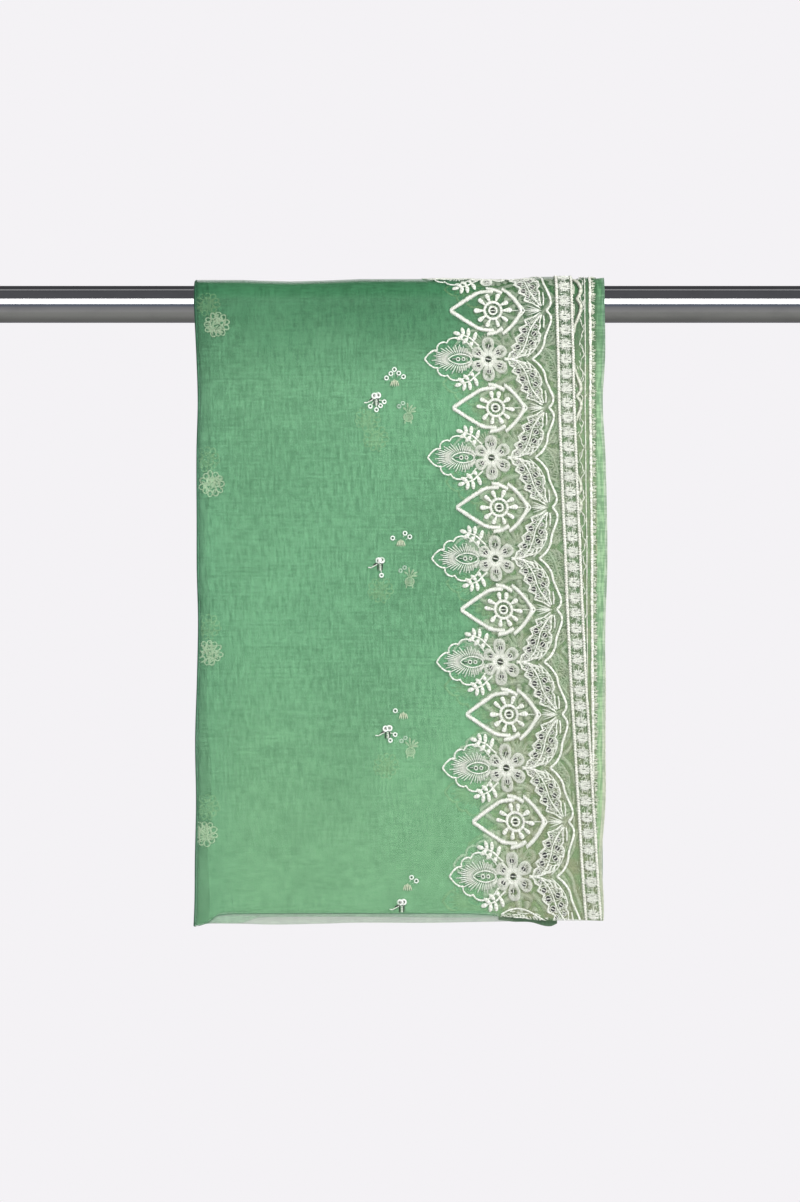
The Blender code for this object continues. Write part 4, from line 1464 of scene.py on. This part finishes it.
def make_second_braid(finishes):
    """The second ply's braid: two cords, a wavy thread with loose ends, and ragged tufts."""
    cord, cream, foil_and_shade = finishes
    front, back = QUARTER + 0.5312, QUARTER + BACK_DROP - 0.0024
    cords = Stitches()
    for place, half_width in SECOND_CORDS:
        line = long_line(place, front, back, 1.7, 0.2)
        cords.thread(line + second_drift(line), pinched(line, half_width), 0.8, uneven=0.22)
    wave = long_line(WAVE, front, back, 1.7, 0.5)
    wave[:, 0] += sum(swing * np.sin(2 * math.pi * wave[:, 1] / length) for swing, length in WAVES)
    cords.thread(wave + second_drift(wave), 0.42, 0.7, uneven=0.5, sides=4)
    for spot in wave[::3]:
        start = spot + chance.uniform(-1, 1, 2) * (2.2, 1.5)
        lean = chance.uniform(50, 130)
        cords.aimed(start, lean, chance.uniform(1.5, 4.5), half_width=0.4, height=0.6, tail=0.8)
    runs = spaced(-back + 0.008, front - 0.008, SECOND_TUFT_PITCH)
    places = SECOND_TUFT + second_drift(np.stack((0 * runs, -runs / MM), axis=-1))[:, 0]
    spots = [Spot(place, run, 1.0) for place, run in zip(places, runs)]
    works = []
    for kind in range(SECOND_TUFT_KINDS):
        works.append([repeated(stitches, spots[kind::SECOND_TUFT_KINDS]) for stitches in second_tuft()])
    tufts, shadows = zip(*works)
    return [
        sew_on("second_trim", SECOND, cords.gather(), cord, nodes=["second_braid"]),
        sew_on("second_tufts", SECOND, joined(tufts), cream),
        sew_on("second_shadows", SECOND, joined(shadows), foil_and_shade),
    ]


INNER_CORD_TOP, INNER_CORD_BOTTOM = 0.250, 0.5334  # the drops it shows between
INNER_CORD_REACH, INNER_CORD_EASE = 0.0012, 0.0850  # how far out it comes, and over what length
INNER_CORDS = ((0.6, 0.55), (2.3, 0.85))  # how far in each cord lies, and its half width


def make_inner_edge_cord(finish):
    """The corded long edge of the innermost ply, which shows beside the rest low down at the front."""
    drop = spaced(INNER_CORD_TOP, INNER_CORD_BOTTOM, 0.0018)
    reach = INNER_CORD_REACH * (2 * eased((drop - INNER_CORD_TOP) / INNER_CORD_EASE) - 1)
    edge = read(OUTLINES, "right", drop) + reach
    work = Stitches()
    for inset, half_width in INNER_CORDS:
        line = np.stack((edge / MM - inset, -(QUARTER + drop) / MM), axis=-1)
        work.thread(line, half_width, 0.8, uneven=0.12)
    flat = Ply(
        top=lambda place, run: -0.0012 + 0 * run,
        base=lambda place, run: -0.0020 + 0 * run,
        inset=0,
        fold=0,
        edge=inner_edge,
        hem="inner",
        back=0,
    )
    return sew_on("inner_edge_cords", flat, work.gather(), finish, nodes=["inner_edge_cord"], askew=False)


def spot_at(place, drop):
    return Spot(place, QUARTER + drop * MM, 1.0)


# The small flowers: places and drops in millimetres, the ring sequins of each, and the lean of its stitches
TopFlower = namedtuple("TopFlower", "place drop sewn rings")
TOP_FLOWERS = (
    TopFlower(-20.6, 80.6, 70, ((-5.0, -8.6), (0.2, -11.6), (3.7, -8.1), (7.1, -4.7))),
    TopFlower(-17.2, 223.0, 88, ((1.2, -12.1),)),
    TopFlower(-10.8, 368.0, 60, ((6.6, -4.6), (2.4, -9.6))),
    TopFlower(1.5, 518.0, 75, ()),
)
FAN = ((-7.1, 4.0), (-3.3, 7.8), (-0.3, 11.3), (3.5, 8.2), (7.6, 5.1))
Fan = namedtuple("Fan", "place drop rings")
FANS = (
    Fan(-4.6, 68.8, FAN),
    Fan(0.8, 207.0, (FAN[0], *FAN[3:])),
    Fan(3.0, 356.0, FAN[:1]),
    Fan(6.5, 504.0, FAN[3:]),
)
CREAM_RINGS, CREAM_FLOWERS = ((-7.9, 4.8), (-4.4, 7.5)), ((7.0, 94.0), (8.3, 236.0), (9.0, 383.0))
EDGE_FLOWERS = ((-158.3, 18.8), (-162.6, 156.0), (-164.4, 302.0), (-168.7, 458.0))
INNER_FLOWERS = (
    *((-166.8, 0.8), (-167.0, 135.4), (-166.0, 280.0), (-167.0, 435.5)),
    *((-28.0, 100.0), (-17.0, 248.0), (-12.0, 400.0), (-21.0, 117.0)),
)


def make_small_motifs(finishes):
    """Small flowers: down the middle of the drops on the outer and second plies, and near the folded edge."""
    white, pearl, cream, green, foil_and_shade = finishes
    outer, second, inner = [], [], []

    def sew(made, name, ply, design, spots, *kinds):
        spots = [spot_at(*spot) for spot in spots]
        made += all_sewn(name, ply, design, spots, kinds, askew=False)

    for i, (place, drop, sewn, rings) in enumerate(TOP_FLOWERS):
        sew(outer, f"outer_flower_{i}", OUTER, ring_flower(rings, sewn), [(place, drop)], white, pearl, foil_and_shade)
    for i, (place, drop, rings) in enumerate(FANS):
        spray, cup = fan(rings)
        sew(outer, f"outer_spray_{i}", OUTER, spray, [(place, drop)], white, pearl, foil_and_shade)
        sew(outer, f"outer_cup_{i}", OUTER, cup, [(place, drop)], cream, pearl)
    sew(second, "second_flower", SECOND, cream_flower(CREAM_RINGS), CREAM_FLOWERS, cream, pearl)
    for i, spot in enumerate(EDGE_FLOWERS):
        sew(second, f"edge_flower_{i}", SECOND, round_flower(), [spot], cream, pearl)
    sew(inner, "inner_flower", INNER, round_flower(), INNER_FLOWERS, green, green)
    return outer, second, inner


# ---------------------------------------------------------------- studio and camera

MM_PER_PIXEL = 0.865  # at the cloth, in an image 1202 pixels high
IMAGE_HEIGHT = 1202
CAMERA_AWAY, CAMERA_HEIGHT = 4.5, -0.2573
SENSOR = 36.0
FLOOR_HEIGHT, FLOOR_LENGTH, FLOOR_DEPTH = -1.5, 10.0, 8.0
LAMP_COLOUR = (1.0, 0.995, 0.985)
LIGHT_STRENGTH, LIGHT_COLOUR = 0.22, (1.0, 0.995, 1.0, 1)  # of the studio's light from all around
BACKDROP = (0.904, 0.888, 0.913, 1)

# What polished metal shows, from straight below to straight above
MIRRORED = (
    *((0.00, (0.24, 0.24, 0.225)), (0.08, (0.26, 0.26, 0.245)), (0.14, (0.30, 0.295, 0.29))),
    *((0.33, (0.225, 0.225, 0.235)), (0.40, (0.13, 0.145, 0.18)), (0.46, (0.15, 0.17, 0.21))),
    *((0.492, (0.24, 0.27, 0.32)), (0.60, (0.10, 0.10, 0.11)), (1.0, (0.10, 0.10, 0.108))),
)


def make_camera():
    data = bpy.data.cameras.new("studio_camera")
    data.sensor_width = SENSOR
    middle = -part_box("outer_ply")[0].y / 2
    data.lens = SENSOR * (CAMERA_AWAY - middle) / (IMAGE_HEIGHT * MM_PER_PIXEL * MM)
    data.clip_end = 50
    camera = bpy.data.objects.new("studio_camera", data)
    camera.location = (0, -CAMERA_AWAY, CAMERA_HEIGHT)
    camera.rotation_euler = (math.pi / 2, 0, 0)
    bpy.context.scene.collection.objects.link(camera)
    bpy.context.scene.camera = camera


# A lamp stands at place and faces aim; mirrored tells whether polished metal shows it
SoftBox = namedtuple("SoftBox", "name place aim width height watts mirrored")
SOFT_BOXES = (
    SoftBox("front_box", (0.0, -2.60, 0.740), (0, -0.02, 0.0), 3.4, 1.50, 51, True),
    SoftBox("key_box", (1.5, -2.0, 1.2), (0, 0, -0.25), 0.7, 0.9, 60, False),
    SoftBox("overhead_strip", (0.0, 0.42, 2.2), (0, 0, 0), 3.6, 0.33, 1.2, True),
    SoftBox("back_box", (0.6, 2.6, 1.1), (0, 0, -0.2), 2.8, 1.4, 66, False),
)


def add_soft_box(box):
    data = bpy.data.lights.new(box.name, "AREA")
    data.shape = "RECTANGLE"
    data.size, data.size_y = box.width, box.height
    data.energy = box.watts
    data.color = LAMP_COLOUR
    light = bpy.data.objects.new(box.name, data)
    light.location = box.place
    direction = np.array(box.aim) - np.array(box.place)
    flat = math.hypot(direction[0], direction[1])
    light.rotation_euler = (math.atan2(flat, -direction[2]), 0, math.atan2(-direction[0], direction[1]))
    light.visible_camera = False
    light.visible_glossy = box.mirrored
    bpy.context.scene.collection.objects.link(light)


def make_world():
    """A pale studio: flat behind the part, soft for its light, and darker in what polished metal shows."""
    world = bpy.data.worlds.new("studio")
    bpy.context.scene.world = world
    world.use_nodes = True
    tree = world.node_tree
    tree.nodes.clear()
    rays = add_node(tree, "ShaderNodeLightPath").outputs
    where = add_node(tree, "ShaderNodeTexCoord").outputs["Generated"]
    apart = add_node(tree, "ShaderNodeSeparateXYZ", {0: where}).outputs
    height = add_node(tree, "ShaderNodeMapRange", {"Value": apart["Z"], "From Min": -1.0}).outputs["Result"]
    shown = add_node(tree, "ShaderNodeValToRGB", {"Fac": height})
    stops = shown.color_ramp.elements
    while len(stops) < len(MIRRORED):
        stops.new(0.5)
    for stop, (place, colour) in zip(stops, MIRRORED):
        stop.position = place
        stop.color = (*colour, 1)
    fading = {"Value": apart["Y"], "From Min": -0.2, "From Max": 0.6, "To Min": 1.0, "To Max": 0.55}
    behind = add_node(tree, "ShaderNodeMapRange", fading).outputs["Result"]
    grounds = [
        add_node(tree, "ShaderNodeBackground", inputs).outputs[0]
        for inputs in (
            {"Color": LIGHT_COLOUR, "Strength": LIGHT_STRENGTH},
            {"Color": shown.outputs["Color"], "Strength": behind},
            {"Color": BACKDROP},
        )
    ]
    lit = add_node(tree, "ShaderNodeMixShader", {"Fac": rays["Is Glossy Ray"], 1: grounds[0], 2: grounds[1]})
    seen = {"Fac": rays["Is Camera Ray"], 1: lit.outputs[0], 2: grounds[2]}
    seen = add_node(tree, "ShaderNodeMixShader", seen)
    add_node(tree, "ShaderNodeOutputWorld", {"Surface": seen.outputs[0]})


def make_floor():
    unselect_all()
    bpy.ops.mesh.primitive_plane_add(size=1, location=(0, 0, 0))
    floor = bpy.context.active_object
    floor.name = "studio_floor"
    for vertex in floor.data.vertices:
        vertex.co = (vertex.co.x * FLOOR_LENGTH, vertex.co.y * FLOOR_DEPTH, FLOOR_HEIGHT)
    pale = Finish("pale_floor", roughness=0.75)
    grain = pale.noise((9, 9, 9), detail=4)
    tone = pale.blend(pale.spread(grain, 0.3, 0.7), (0.80, 0.79, 0.81), (0.84, 0.83, 0.85))
    pale.colour(tone)
    pale.drive("Emission Color", tone)
    pale.shader.inputs["Emission Strength"].default_value = 0.12
    floor.data.materials.append(pale.material)
    floor.visible_glossy = False


def make_studio():
    bpy.context.scene.view_settings.view_transform = "Standard"
    make_world()
    make_floor()
    make_camera()
    for box in SOFT_BOXES:
        add_soft_box(box)


TONE, INSIDE = (0.175, 0.452, 0.238), (0.93, 0.95, 0.94)
SHEER = 0.235  # the alpha of one ply
NET = Border((0.300, 0.345, 0.205), share=0.72, flecks=(0.200, 0.380, 0.165), fleck_share=0.6, plain=0)
HEAP = Border((0.300, 0.320, 0.190), share=0.88, flecks=(0.185, 0.370, 0.150), fleck_share=0.7, plain=0.0078)


def main():
    make_studio()
    make_rail()
    cloth = make_cloth({
        "green": organza("sheer_outer", TONE, SHEER, NET),
        "second": organza("sheer_second", TONE, SHEER, NET),
        "inner": organza("plies_inside", shade(TONE, INSIDE), 1.0, HEAP),
        "pressed_and_shaded": organza("pressed_fold", TONE, 0.92),
        "pale": organza("sheer_hem_strip", (0.24, 0.40, 0.26), 0.40),
        # A darker copy of the cloth: painted shade inside the folded corner
        "corner": organza("folded_corner", (0.085, 0.20, 0.105), 1.0),
        "roll": organza("rolled_hem", TONE, 0.6),
    })
    # Each thread's bright and dull tones, then the painted shade along its sides
    white = stitched("white_thread", (1.0, 1.0, 0.96), (0.57, 0.62, 0.51), (0.64, 0.67, 0.58))
    cord = stitched("cord_thread", (1.0, 1.0, 0.93), (0.52, 0.55, 0.45), (0.46, 0.49, 0.40))
    cream = stitched("cream_thread", (0.80, 0.83, 0.72), (0.48, 0.51, 0.40), (0.34, 0.37, 0.27))
    crochet = stitched("crocheted_thread", (0.80, 0.84, 0.66), (0.56, 0.60, 0.42), (0.38, 0.42, 0.26))
    dim = stitched("cream_thread_inside", (0.58, 0.74, 0.38), (0.42, 0.56, 0.28), (0.30, 0.42, 0.20))
    # Dark sequins: painted dark reflection of the studio and painted shade in their holes; the painted
    # shadows take this finish too
    foil_and_shade = rubbed_foil("sequin_dark_reflection_and_shade", (0.008, 0.010, 0.009), (0.06, 0.065, 0.06), roughness=0.35)
    pearl = rubbed_foil("pearl_sequin", (0.88, 0.92, 0.87), (0.96, 0.98, 0.95), roughness=0.25)
    on_outer, on_second, on_inner = make_border((white, foil_and_shade, cream, dim))
    braid, second_braid = make_braid((cord, white)), make_second_braid((cord, cream, foil_and_shade))
    outer_flowers, second_flowers, inner_flowers = make_small_motifs((white, pearl, crochet, dim, foil_and_shade))
    on_outer += [*braid, *outer_flowers]
    on_second += [*second_braid, *second_flowers]
    on_inner += [make_inner_edge_cord(cream), *inner_flowers]


main()
